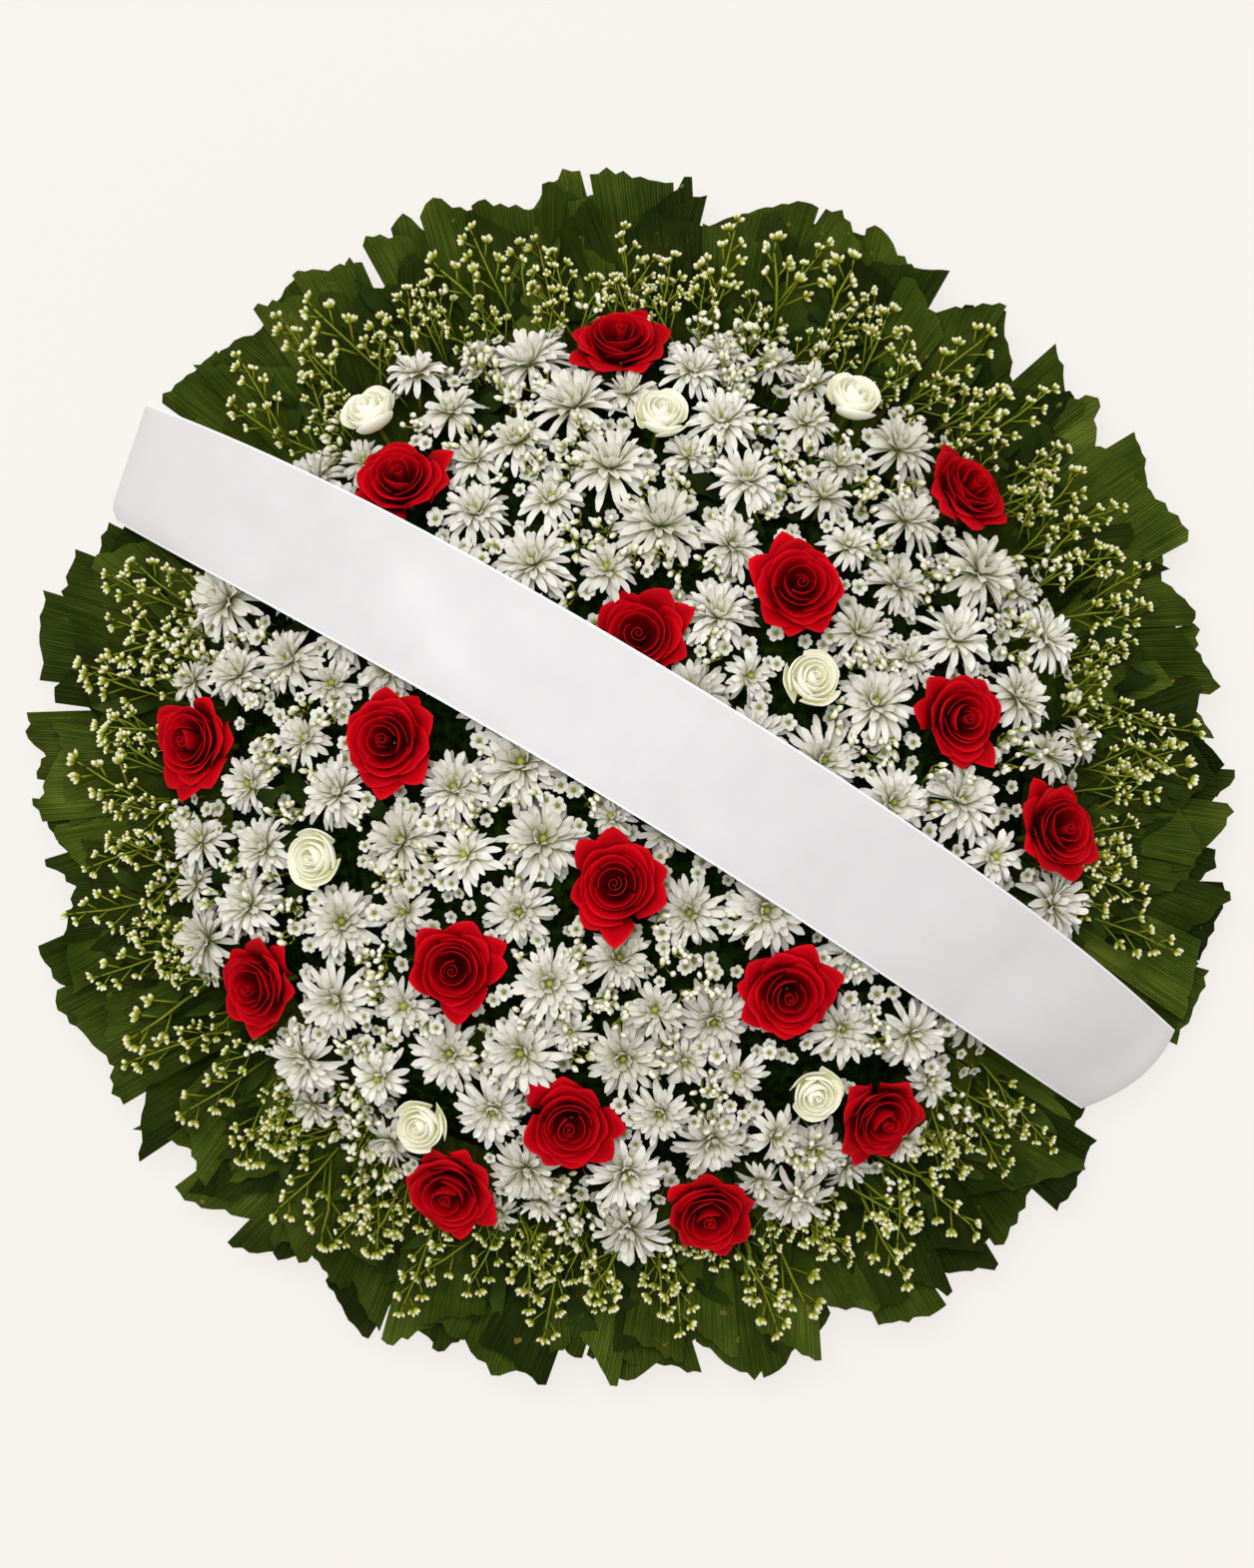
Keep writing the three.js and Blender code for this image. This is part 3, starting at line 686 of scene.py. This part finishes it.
rng = random.Random(22)
quarters = [[], [], [], []]
for x, y in freeSpots(fillHeads):
    lift, spin, lean = rng.uniform(*fillHeads["lift"]), rng.uniform(0, 360), upwardLean(x, y, rng)
    matrix = standOnDome(x, y, lift, spin, lean, rng.uniform(*fillHeads["size"]))
    quarters[quarterOf(x, y)].append(copyOf(rng.choice(smallHeads), matrix, rng.random()))
    headPlaces.append((placeOnDome(x, y)[0], fillHeads["keep"]))
for number, pieces in enumerate(quarters, 1):
    standFor(joinAs(f"smallChrysanthemums-{number}", pieces), "white_petals")
discard(*largeHeads, *smallHeads)
print("smaller blooms")

# roses: a rolled heart, then petals on a spiral that open outwards more and more, on a thick stem

redRose = {
    # the heart's radius, turns and height
    "heart": (7, 1.7, 12), "stem": 3, "stemEnd": 92, "point": 0.26, "thickness": 0.5, "petals": 24,
    "open": 0.62, "loose": 3.2, "spread": (80, 25), "curl": 9, "cells": (10, 6), "lift": 9,
    "size": (0.85, 0.91), "leanAcross": (-0.12, 0.12), "leanUp": (-0.02, 0.22), "seeds": (1, 2, 6, 12),
    # root, two bends and lip, each as radius and height, for the innermost and the outermost petal
    "inner": ((2, -18), (10, -10), (12, 4), (10.5, 13)), "outer": ((3, -26), (31, -27), (36, 4), (43, -8))}
whiteRose = {
    "heart": (6, 1.5, 12), "stem": 2.5, "stemEnd": 90, "point": 0.14, "thickness": 0.6, "petals": 14,
    "open": 0.85, "loose": 1.5, "spread": (86, 44), "curl": 3.2, "cells": (9, 6), "lift": 7,
    "size": (0.74, 0.82), "leanAcross": (-0.15, 0.15), "leanUp": (-0.05, 0.25), "seeds": (7, 14),
    "inner": ((2, -14), (8, -8), (9, 8), (5, 13)), "outer": ((3, -24), (30, -22), (33, 8), (29, 2))}


def rolledHeart(plan, start):
    radius, turns, height = plan["heart"]

    def place(u, v):
        reach = (u + 1) / 2
        clock = start + reach * turns * math.tau
        out = 0.9 + (radius - 0.9) * reach * (0.75 + 0.25 * v)
        top = height - 3.5 * reach ** 2 + 0.8 * math.sin(clock * 2.3)
        return Vector((out * math.cos(clock), out * math.sin(clock), -12 + (top + 12) * v))

    return place


def rosePetal(plan, t, turn, rng):
    # t runs from 0 for the innermost petal to 1 for the outermost
    grown = t ** plan["open"]
    loose = plan["loose"]
    narrow, more = plan["spread"][0], plan["spread"][1] - plan["spread"][0]
    wide = math.radians((narrow + more * t) * rng.uniform(0.94, 1.06))
    points = [Vector((r0 + (r1 - r0) * grown, 0, z0 + (z1 - z0) * grown))
              for (r0, z0), (r1, z1) in zip(plan["inner"], plan["outer"])]
    points[2] += Vector((rng.uniform(-0.5, 0.5) * loose, 0, rng.uniform(-0.6, 0.6) * loose))
    points[3] += Vector((rng.uniform(-1, 1.3) * loose, 0, rng.uniform(-1, 1) * loose))
    point = plan["point"] * max(0, t - 0.2) * rng.uniform(0.7, 1.2)
    wave = rng.uniform(0, math.tau)
    slip = rng.uniform(-0.06, 0.06) * loose
    middle = math.radians(turn)

    def place(u, v):
        center = bezier(points, v * (1 - (0.16 + 0.12 * t) * abs(u) ** 2))
        clock = middle + u * wide * (0.45 + 0.55 * math.sin(math.pi / 2 * min(1, v * 1.6))) + slip * v
        edge = abs(u) ** 3 * v * v
        out = center.x * (1 + 0.045 * u * v) + 1.5 * t * edge
        out *= 1 + point * ((1 - abs(u)) ** 1.4 * v ** 5 - 0.3 * abs(u) ** 1.5 * v ** 3)
        rise = center.z - plan["curl"] * (0.3 + t) * edge + (0.3 + t) * math.sin(u * 4.5 + wave) * v ** 3
        return Vector((out * math.cos(clock), out * math.sin(clock), rise))

    return place


def roseBloom(plan, petal, seed):
    rng = random.Random(seed)
    heart = rolledHeart(plan, rng.uniform(0, math.tau))
    petals = [sheetShape("heart", 40, 2, heart, plan["thickness"], petal)]
    turn = rng.uniform(0, 360)
    for k in range(plan["petals"]):
        turn += 137.5 + rng.uniform(-6, 6) * plan["loose"]
        place = rosePetal(plan, k / (plan["petals"] - 1), turn, rng)
        shape = sheetShape("petal", *plan["cells"], place, plan["thickness"], petal)
        petals.append(setTone(shape, rng.random()))
    stem, root = plan["stem"], plan["outer"][1][1]
    heights = (-plan["stemEnd"], -60, root - 6, root - 1, root + 5)
    calyx = addTube("calyx", [Vector((0, 0, z)) for z in heights], (stem, stem, stem, 7.5, 6), 8, greenStem)
    return joinAs("bloom", petals + [setTone(calyx, 0.5)])


rng = random.Random(5)
for kind, node, slot, plan, petal, spots in (
        ("redRose", "red_rose", "red_petals", redRose, redPetal, redRoses),
        ("whiteRose", "white_rose", "cream_petals", whiteRose, creamPetal, whiteRoses)):
    blooms = [roseBloom(plan, petal, seed) for seed in plan["seeds"]]
    for number, (clock, radius, lift) in enumerate(spots, 1):
        spot = polar(clock, radius)
        lean = (rng.uniform(*plan["leanAcross"]), rng.uniform(*plan["leanUp"]))
        spin = rng.uniform(0, 360)
        matrix = standOnDome(spot.x, spot.y, lift + plan["lift"], spin, lean, rng.uniform(*plan["size"]))
        rose = joinAs(f"{kind}-{number:02d}", [copyOf(blooms[number % len(blooms)], matrix)])
        standFor(rose, slot, f"{node}_{number:02d}")
    discard(*blooms)
print("roses")

# collar: broad pleated leaves with slanting, torn ends

collar = {
    "fans": 9, "perFan": 7, "rootRadius": 316, "thickness": 0.9, "notches": (0, 4, 9, 18), "ragged": 5,
    "width": (0.86, 1.14), "slant": (10, 46), "dip": (-2, 1), "roll": 10,
    # within these angles of the sash leaves lie straighter and lower, and end short of its folds
    "nearSash": 13, "underSash": 9, "straighter": 0.25, "sashReach": 472, "sashFloor": 49,
    # how far the outline stands out: all round, at the foot and on the right
    "outline": (5, 3, 2),
    # height, tip radius, width, phase, yaw
    "rows": [(53, 507, 66, 0.0, 18), (61, 500, 62, 0.5, 26), (69, 478, 54, 0.25, 34)]}


def collarLeafPlace(length, width, slant, rng):
    teeth = [rng.uniform(-4, 1.5) for tooth in range(11)]
    side = rng.choice((-1, 1))
    fold = rng.uniform(0.04, 0.26)
    ridge = rng.uniform(-0.5, 0.5)
    pleats = rng.uniform(0, math.tau)
    droop, swell = rng.uniform(0, 5), rng.uniform(-2, 3)
    peak = rng.uniform(0.55, 1)
    twist = rng.uniform(-0.14, 0.14)

    def place(u, v):
        end = length - abs(u - side * peak) * slant / 1.6
        if v > 0.99:
            end += teeth[round((u + 1) * 5)]
        half = width / 2 * (0.4 + 0.6 * v ** 0.7)
        lift = (twist * u * v - fold * abs(u - ridge)) * half * (0.4 + 0.6 * v)
        lift += 1.1 * math.sin(u * 8 + pleats)
        lift += fold * 0.5 * half + swell * math.sin(math.pi * v) - droop * v * v
        return Vector((end * v, u * half, lift))

    return place


def offSash(clockDeg):
    away = abs((clockDeg - sashPlan["clock"]) % 180)
    return min(away, 180 - away)


def outlineShift(clockDeg):
    # the florist's collar isn't quite round
    clock = math.radians(clockDeg)
    around, foot, right = collar["outline"]
    return around - foot * math.sin(clock) + right * math.cos(clock)


def collarLeafAt(clock, height, tip, width, mostYaw):
    reach = tip + outlineShift(clock) - rng.choice(collar["notches"]) - rng.uniform(0, collar["ragged"])
    nearSash = offSash(clock) < collar["nearSash"]
    loose = collar["straighter"] if nearSash else 1
    yaw = eitherWay(rng, mostYaw) * loose
    if offSash(clock) < collar["underSash"]:
        reach = min(reach, collar["sashReach"])
    length = (reach - collar["rootRadius"]) / math.cos(math.radians(yaw)) ** 0.6
    width *= rng.uniform(*collar["width"])
    place = collarLeafPlace(length, width, rng.uniform(*collar["slant"]) * loose, rng)
    leaf = setTone(sheetShape("leaf", 10, 5, place, collar["thickness"], collarLeaf), rng.random())
    dip = rng.uniform(*collar["dip"])
    if nearSash:
        dip = math.degrees(math.atan2(height - collar["sashFloor"], length))
    roll = turned(eitherWay(rng, collar["roll"]) * loose, "X")
    root = Matrix.Translation(polar(clock, collar["rootRadius"], height + 2) * mm)
    leaf.data.transform(root @ turned(clock + yaw, "Z") @ (turned(dip, "Y") @ roll))
    return leaf


rng = random.Random(33)
leafTurn = 360 / (collar["fans"] * collar["perFan"])
for fan in range(collar["fans"]):
    leaves = []
    for height, tip, width, phase, mostYaw in collar["rows"]:
        for k in range(collar["perFan"]):
            clock = ((fan * collar["perFan"] + k) + phase) * leafTurn + rng.uniform(-1, 1)
            leaves.append(collarLeafAt(clock, height, tip, width, mostYaw))
    standFor(joinAs(f"leafFan-{fan + 1:02d}", leaves), "leaves", f"leaf_fan_{fan + 1:02d}")
print("leaf collar")

# sprigs: a thin stem with side twigs that carry small buds, and narrow leaves between them

longSprig = {
    "length": 100, "branches": 6, "from": 0.34, "reach": 24, "buds": (3, 5), "fan": 84, "bud": 4.8,
    "arch": 7, "seeds": range(60, 65)}
shortSprig = {
    "length": 60, "branches": 4, "from": 0.36, "reach": 20, "buds": (3, 5), "fan": 84, "bud": 4.7,
    "arch": 10, "seeds": range(70, 74)}
sprigRings = [
    # plan, how many, root radius, height, scale, yaw, tip
    (longSprig, 48, (356, 386), (79, 88), (0.6, 1.06), 22, (-4, 6)),
    (shortSprig, 64, (366, 396), (82, 92), (0.7, 1.15), 38, (-8, 6)),
    (shortSprig, 124, (346, 374), (84, 97), (0.62, 0.95), 44, (-14, 4))]
sprigLayout = {"arcs": 6, "reach": 470, "uneven": 2.2, "roll": 30, "tries": 6}
sprigLeaves = {
    "count": 300, "length": 46, "width": 13, "thickness": 0.5, "roots": (362, 424), "heights": (74, 86),
    "fall": 0.12, "yaw": 65, "tip": (-6, 9), "roll": 35, "size": (0.7, 1.15), "seeds": (1, 2, 3)}


def longBud(material):
    # one long, base at the origin and tip up the Z axis
    deselectAll()
    bpy.ops.mesh.primitive_ico_sphere_add(subdivisions=1, radius=0.5, location=(0, 0, 0.5))
    bud = finishBall(material)
    uvs = bud.data.uv_layers.active.data
    for loop in bud.data.loops:
        uvs[loop.index].uv = (0.5, bud.data.vertices[loop.vertex_index].co.z)
    return bud


def budSprig(plan, seed, material):
    # side branches leave the stem in turn, each ending in a small fan of buds
    rng = random.Random(seed)
    length = plan["length"]
    line = [Vector((length * t, rng.uniform(-2, 2) * t, plan["arch"] * math.sin(math.pi * t * 0.8)))
            for t in (0, 0.3, 0.65, 1)]
    parts = [addTube("stem", line, (1.4, 1.3, 1.1, 0.8), 4, greenStem)]
    bud = longBud(material)
    for branch in range(plan["branches"] + 1):
        t = plan["from"] + (0.98 - plan["from"]) * branch / plan["branches"]
        foot = bezier(line, t)
        side = 1 if branch % 2 else -1
        reach = plan["reach"] * rng.uniform(0.7, 1.15) * (1.2 - 0.75 * t)
        ahead, aside = reach * rng.uniform(0.75, 1.1), side * reach * rng.uniform(0.4, 0.85)
        out = Vector((ahead, aside, rng.uniform(2, 7)))
        if branch == plan["branches"]:
            out = Vector((7, 0, 3))
        end = foot + out
        parts.append(addTube("branch", [foot, end], (1.0, 0.8), 3, greenStem))
        ahead = out.normalized()
        aside = Vector((-ahead.y, ahead.x, 0)).normalized()
        count = rng.randint(*plan["buds"])
        for number in range(count):
            fan = math.radians((number / max(1, count - 1) - 0.5) * plan["fan"] + rng.uniform(-16, 16))
            away = (ahead * math.cos(fan) + aside * math.sin(fan) + zUp * rng.uniform(0.1, 0.75)).normalized()
            upright = zUp.rotation_difference(away).to_matrix().to_4x4()
            wide, tall = plan["bud"] * rng.uniform(0.8, 1.05), plan["bud"] * rng.uniform(1.4, 2.0)
            base = end + away * rng.uniform(-0.5, 2.5)
            size = Matrix.Diagonal((wide * mm, wide * mm, tall * mm, 1))
            parts.append(copyOf(bud, Matrix.Translation(base * mm) @ upright @ size))
    discard(bud)
    return joinAs("sprig", parts)


def narrowLeaf(seed):
    rng = random.Random(seed)
    bend, wave = rng.uniform(-7, 7), rng.uniform(0, math.tau)

    def place(u, v):
        half = sprigLeaves["width"] / 2 * math.sin(math.pi * (0.08 + 0.9 * v)) ** 0.8
        drop = 4 * math.sin(math.pi * v) - 6 * v * v + 1.5 * abs(u) + 0.8 * math.sin(7 * v + wave)
        return Vector((sprigLeaves["length"] * v, u * half + bend * v * v, drop))

    return sheetShape("narrowLeaf", 2, 5, place, sprigLeaves["thickness"], sprigLeaf)


def clearHeading(root, clockDeg, yaw, length):
    # a sprig beside the sash turns until it lies clear of the sash, or is left out
    for attempt in range(sprigLayout["tries"]):
        heading = clockDeg + eitherWay(rng, yaw) * (1 + attempt / 3)
        tip = root + polar(heading, length)
        if not any(underSash(point.x, point.y, sashRoom["sprig"]) for point in (root, (root + tip) / 2, tip)):
            return heading
    return None


def arcOf(clockDeg):
    return int((clockDeg % 360) * sprigLayout["arcs"] / 360)


rng = random.Random(40)
narrowLeaves = [narrowLeaf(seed) for seed in sprigLeaves["seeds"]]
longSprigs = [budSprig(longSprig, seed, budWhite) for seed in longSprig["seeds"]]
shortSprigs = [budSprig(shortSprig, seed, budWhite) for seed in shortSprig["seeds"]]
perArc = [[] for arc in range(sprigLayout["arcs"])]
for plan, count, roots, heights, scales, yaw, tips in sprigRings:
    for i in range(count):
        clock = i * 360 / count + eitherWay(rng, sprigLayout["uneven"])
        radius = rng.uniform(*roots)
        root = polar(clock, radius, rng.uniform(*heights))
        size = min(rng.uniform(*scales), (sprigLayout["reach"] - radius) / plan["length"])
        heading = clearHeading(root, clock, yaw, plan["length"] * size)
        if heading is None:
            continue
        tip = turned(-rng.uniform(*tips), "Y")
        roll = turned(eitherWay(rng, sprigLayout["roll"]), "X")
        matrix = Matrix.Translation(root * mm) @ turned(heading, "Z") @ tip @ roll @ Matrix.Scale(size, 4)
        source = rng.choice(longSprigs if plan is longSprig else shortSprigs)
        perArc[arcOf(clock)].append(copyOf(source, matrix, rng.random()))
for i in range(sprigLeaves["count"]):
    clock = (i + rng.random()) * 360 / sprigLeaves["count"]
    radius = rng.uniform(*sprigLeaves["roots"])
    height = rng.uniform(*sprigLeaves["heights"]) - sprigLeaves["fall"] * (radius - sprigLeaves["roots"][0])
    root = polar(clock, radius, height)
    heading = clearHeading(root, clock, sprigLeaves["yaw"], sprigLeaves["length"])
    if heading is None:
        continue
    tip = turned(rng.uniform(*sprigLeaves["tip"]), "Y")
    roll = turned(eitherWay(rng, sprigLeaves["roll"]), "X")
    size = Matrix.Scale(rng.uniform(*sprigLeaves["size"]), 4)
    matrix = Matrix.Translation(root * mm) @ turned(heading, "Z") @ tip @ roll @ size
    perArc[arcOf(clock)].append(copyOf(rng.choice(narrowLeaves), matrix, rng.random()))
for number, pieces in enumerate(perArc, 1):
    standFor(joinAs(f"collarSprigs-{number:02d}", pieces), "filler", f"filler_sprigs_{number:02d}")
discard(*longSprigs, *shortSprigs, *narrowLeaves)
print("collar sprigs")

# between the blooms: little five-petalled blossoms, bud sprigs and small leaves over moss

littleBlossom = {
    "petals": 5, "radius": 6.5, "half": 3.3, "thickness": 0.5, "eye": 1.7, "seeds": (1, 2, 3)}
gapSprig = {
    "length": 30, "branches": 3, "from": 0.3, "reach": 14, "buds": (1, 3), "fan": 110, "bud": 5.4, "arch": 2,
    "seeds": range(81, 84)}
gapLeaf = {"length": 36, "half": 8, "thickness": 0.6, "seeds": (1, 2, 3)}
blossomSpots = {
    "tries": 1700, "reach": 384, "seed": 51, "redRoom": 36, "whiteRoom": 26, "headRoom": 0, "apart": 0,
    "sashRoom": 4, "lift": (-24, -4), "lean": 0.4, "size": (0.65, 1.1)}
gapSprigSpots = {
    "tries": 1000, "reach": 386, "seed": 54, "redRoom": 54, "whiteRoom": 40, "headRoom": 1, "apart": 0,
    "sashRoom": 16, "lift": (-36, -21), "lean": 0.3, "lay": (-85, -55)}
gapLeafSpots = {
    "tries": 420, "reach": 376, "seed": 52, "redRoom": 62, "whiteRoom": 46, "headRoom": -6, "apart": 0,
    "sashRoom": 16, "lift": (-32, -20), "lean": 0.3, "size": (0.8, 1.2), "lay": (-30, 10)}


def blossom(plan, seed):
    rng = random.Random(seed)

    def place(u, v):
        half = plan["half"] * math.sin(math.pi * (0.1 + 0.72 * v)) * (1 if v > 0.2 else 0.7)
        return Vector((0.8 + plan["radius"] * v, u * half, 1.6 * v - 0.5 * u * u + 0.3 * rng.random()))

    parts = []
    for i in range(plan["petals"]):
        petal = sheetShape("petal", 1, 3, place, plan["thickness"], whitePetal)
        petal.data.transform(turned(i * 360 / plan["petals"] + rng.uniform(-6, 6), "Z"))
        parts.append(petal)
    deselectAll()
    bpy.ops.mesh.primitive_ico_sphere_add(subdivisions=1, radius=plan["eye"] * mm, location=(0, 0, 1 * mm))
    eye = finishBall(eyeYellow)
    stalk = addTube("stalk", [Vector((1.5, 1, -22)), Vector((0, 0, 0))], (0.6, 0.8), 3, greenStem)
    return joinAs("blossom", parts + [eye, stalk])


def littleLeaf(plan, seed):
    wave = random.Random(seed).uniform(0, math.tau)

    def place(u, v):
        half = plan["half"] * math.sin(math.pi * min(1, 0.06 + 0.92 * v)) ** 0.8
        half += 1.6 * math.sin(v * 14) * abs(u)
        rise = 5 * math.sin(math.pi * v) - 8 * v * v + 2 * abs(u) + math.sin(4 * v + wave)
        return Vector((plan["length"] * v, u * half, rise))

    return sheetShape("gapLeaf", 2, 5, place, plan["thickness"], smallLeaf)


def scattered(plan, sources):
    # copies on the plan's free spots, each with the quarter of the mound that it stands in
    pieces = []
    for x, y in freeSpots(plan):
        lift, spin = rng.uniform(*plan["lift"]), rng.uniform(0, 360)
        lean = (eitherWay(rng, plan["lean"]), eitherWay(rng, plan["lean"]))
        matrix = standOnDome(x, y, lift, spin, lean, rng.uniform(*plan["size"]) if "size" in plan else 1.0)
        if "lay" in plan:
            matrix = matrix @ turned(rng.uniform(*plan["lay"]), "Y")
        pieces.append((quarterOf(x, y), copyOf(rng.choice(sources), matrix, rng.random())))
    return pieces


rng = random.Random(50)
blossoms = [blossom(littleBlossom, seed) for seed in littleBlossom["seeds"]]
gapSprigs = [budSprig(gapSprig, seed, gapBud) for seed in gapSprig["seeds"]]
gapLeaves = [littleLeaf(gapLeaf, seed) for seed in gapLeaf["seeds"]]
flowers = scattered(blossomSpots, blossoms) + scattered(gapSprigSpots, gapSprigs)
for quarter in range(4):
    pieces = [piece for place, piece in flowers if place == quarter]
    standFor(joinAs(f"gapFlowers-{quarter + 1}", pieces), "filler")
print("gap flowers")
standFor(joinAs("gapLeaves", [leaf for place, leaf in scattered(gapLeafSpots, gapLeaves)]), "leaves")
discard(*blossoms, *gapSprigs, *gapLeaves)
print("gap leaves")

mound = {
    "radius": 362, "rise": 140, "foot": 44, "base": 322, "flank": 60, "rough": 4, "tufts": 14,
    "rings": (96, 64), "cut": 0.05, "roughFrom": 0.06}
deselectAll()
bpy.ops.mesh.primitive_uv_sphere_add(segments=mound["rings"][0], ring_count=mound["rings"][1], radius=1)
mossMound = bpy.context.object
bpy.ops.object.mode_set(mode="EDIT")
bpy.ops.mesh.select_all(action="SELECT")
bpy.ops.mesh.bisect(plane_co=(0, 0, mound["cut"]), plane_no=(0, 0, 1), clear_inner=True, use_fill=True)
bpy.ops.object.mode_set(mode="OBJECT")
for vertex in mossMound.data.vertices:
    x, y, z = vertex.co
    rough = 0
    if z > mound["roughFrom"]:
        rough = mound["rough"] * noise.fractal(Vector((x, y, z)) * mound["tufts"], 0.8, 2.0, 4)
    flank = math.sqrt(max(0, 1 - z * z))
    reach = min(mound["radius"], mound["base"] + mound["flank"] * flank * z) + rough
    vertex.co = Vector((x * reach, y * reach, mound["foot"] + mound["rise"] * z + rough)) * mm
mossMound.data.materials.append(moss)
bpy.ops.object.shade_smooth()
standFor(joinAs("mossMound", [mossMound]), "foam", "foam_mound")
print("moss")

# sash: one length of satin ribbon over the mound, folded round the collar's edge and pinned behind

sashWave = {
    "long": 3, "longRun": 46, "short": 1.2, "shortRun": 21, "edgeDrop": 2.2, "calmFrom": 470, "calmRun": 25,
    "arch": 7, "step": 6, "cells": 14}


def sashCurve():
    # reach from the middle, and height where the flowers don't give it, from the left tail to the right tail
    crease, top, low = sashPlan["crease"], sashPlan["creaseTop"], sashPlan["creaseLow"]
    tail, turn, end = sashPlan["tailHeight"], sashPlan["tailTurn"], sashPlan["tailEnd"]
    half = [(reach, None) for reach in [*range(0, 487, sashWave["step"]), crease]]
    for deg in (30, 65, 90, 115, 150, 180):
        clock = math.radians(deg)
        half.append((crease + sashPlan["creaseBulge"] * math.sin(clock),
                     (top + low) / 2 + (top - low) / 2 * math.cos(clock)))
    for step in range(1, 13):
        share = step / 12
        ease = share * share * (3 - 2 * share)
        half.append((crease + (turn - crease) * share, low + (tail - low) * ease))
    for step in range(1, 7):
        half.append((turn + (end - turn) * step / 6, tail))
    return [(-reach, height) for reach, height in reversed(half[1:])] + half


def sashFront(reach, across):
    shoulder, top = sashPlan["shoulder"], sashPlan["creaseTop"]
    held = min(abs(reach), shoulder)
    share = min(dome["widest"], (held * held + across * across) / dome["radius"] ** 2)
    onFlowers = dome["foot"] + dome["rise"] * math.sqrt(1 - share) + sashPlan["lift"]
    if abs(reach) <= shoulder:
        return onFlowers
    share = (abs(reach) - shoulder) / (sashPlan["crease"] - shoulder)
    return onFlowers + (top - onFlowers) * share + sashWave["arch"] * math.sin(math.pi * share)


def sashPoint(reach, height, side):
    crease, shoulder, width = sashPlan["crease"], sashPlan["shoulder"], sashPlan["width"]
    held = max(-crease, min(crease, reach))
    half = (width - (width - sashPlan["endWidth"]) * (held / crease) ** 4) / 2
    aside = side * half
    slant, bulge, short, corner = sashPlan["left"] if reach < 0 else sashPlan["right"]
    along, across = reach * (1 + aside / slant), sashOffset(reach) + aside
    if abs(reach) > shoulder:
        # the fold follows the round of the collar's edge
        share = (abs(held) - shoulder) / (crease - shoulder)
        short += corner * max(0, -4 * side - 3) ** 2 - bulge * (1 - side * side)
        along -= math.copysign(share, reach) * short
    if height is None:
        wave = sashWave["long"] * math.sin(reach / sashWave["longRun"] + 1.1 * side)
        wave += sashWave["short"] * math.sin(reach / sashWave["shortRun"] - 1.6 * side + 1)
        calm = 1 - max(0, abs(reach) - sashWave["calmFrom"]) / sashWave["calmRun"]
        wave = wave * (1 - 0.5 * side * side) - sashWave["edgeDrop"] * side ** 4
        height = sashFront(reach, across) + wave * calm
    run = math.radians(sashPlan["clock"])
    x, y = along * math.cos(run) - across * math.sin(run), along * math.sin(run) + across * math.cos(run)
    return Vector((x, y, height))


curve = sashCurve()
middle = [sashPoint(reach, height, 0) * mm for reach, height in curve]
last = len(curve) - 1
sash = sheetShape("satinSash", sashWave["cells"], last, lambda u, v: sashPoint(*curve[round(v * last)], u),
                  sashPlan["thickness"], satin)
standFor(sash, "satin", "sash")

# the frame's own pieces keep their solids

for node, material in (("batten_upright", uprightPine), ("batten_cross", crossPine), ("straw_pad", straw),
                       ("hanger_wire", steel), ("sash_pin_left", steel), ("sash_pin_right", steel)):
    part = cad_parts[node]
    part.data.materials.clear()
    part.data.materials.append(material)

added = [o for o in bpy.data.objects if o.type == "MESH" and o.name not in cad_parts]
faces = sum(len(polygon.vertices) - 2 for o in added for polygon in o.data.polygons)
print("triangles added", faces)
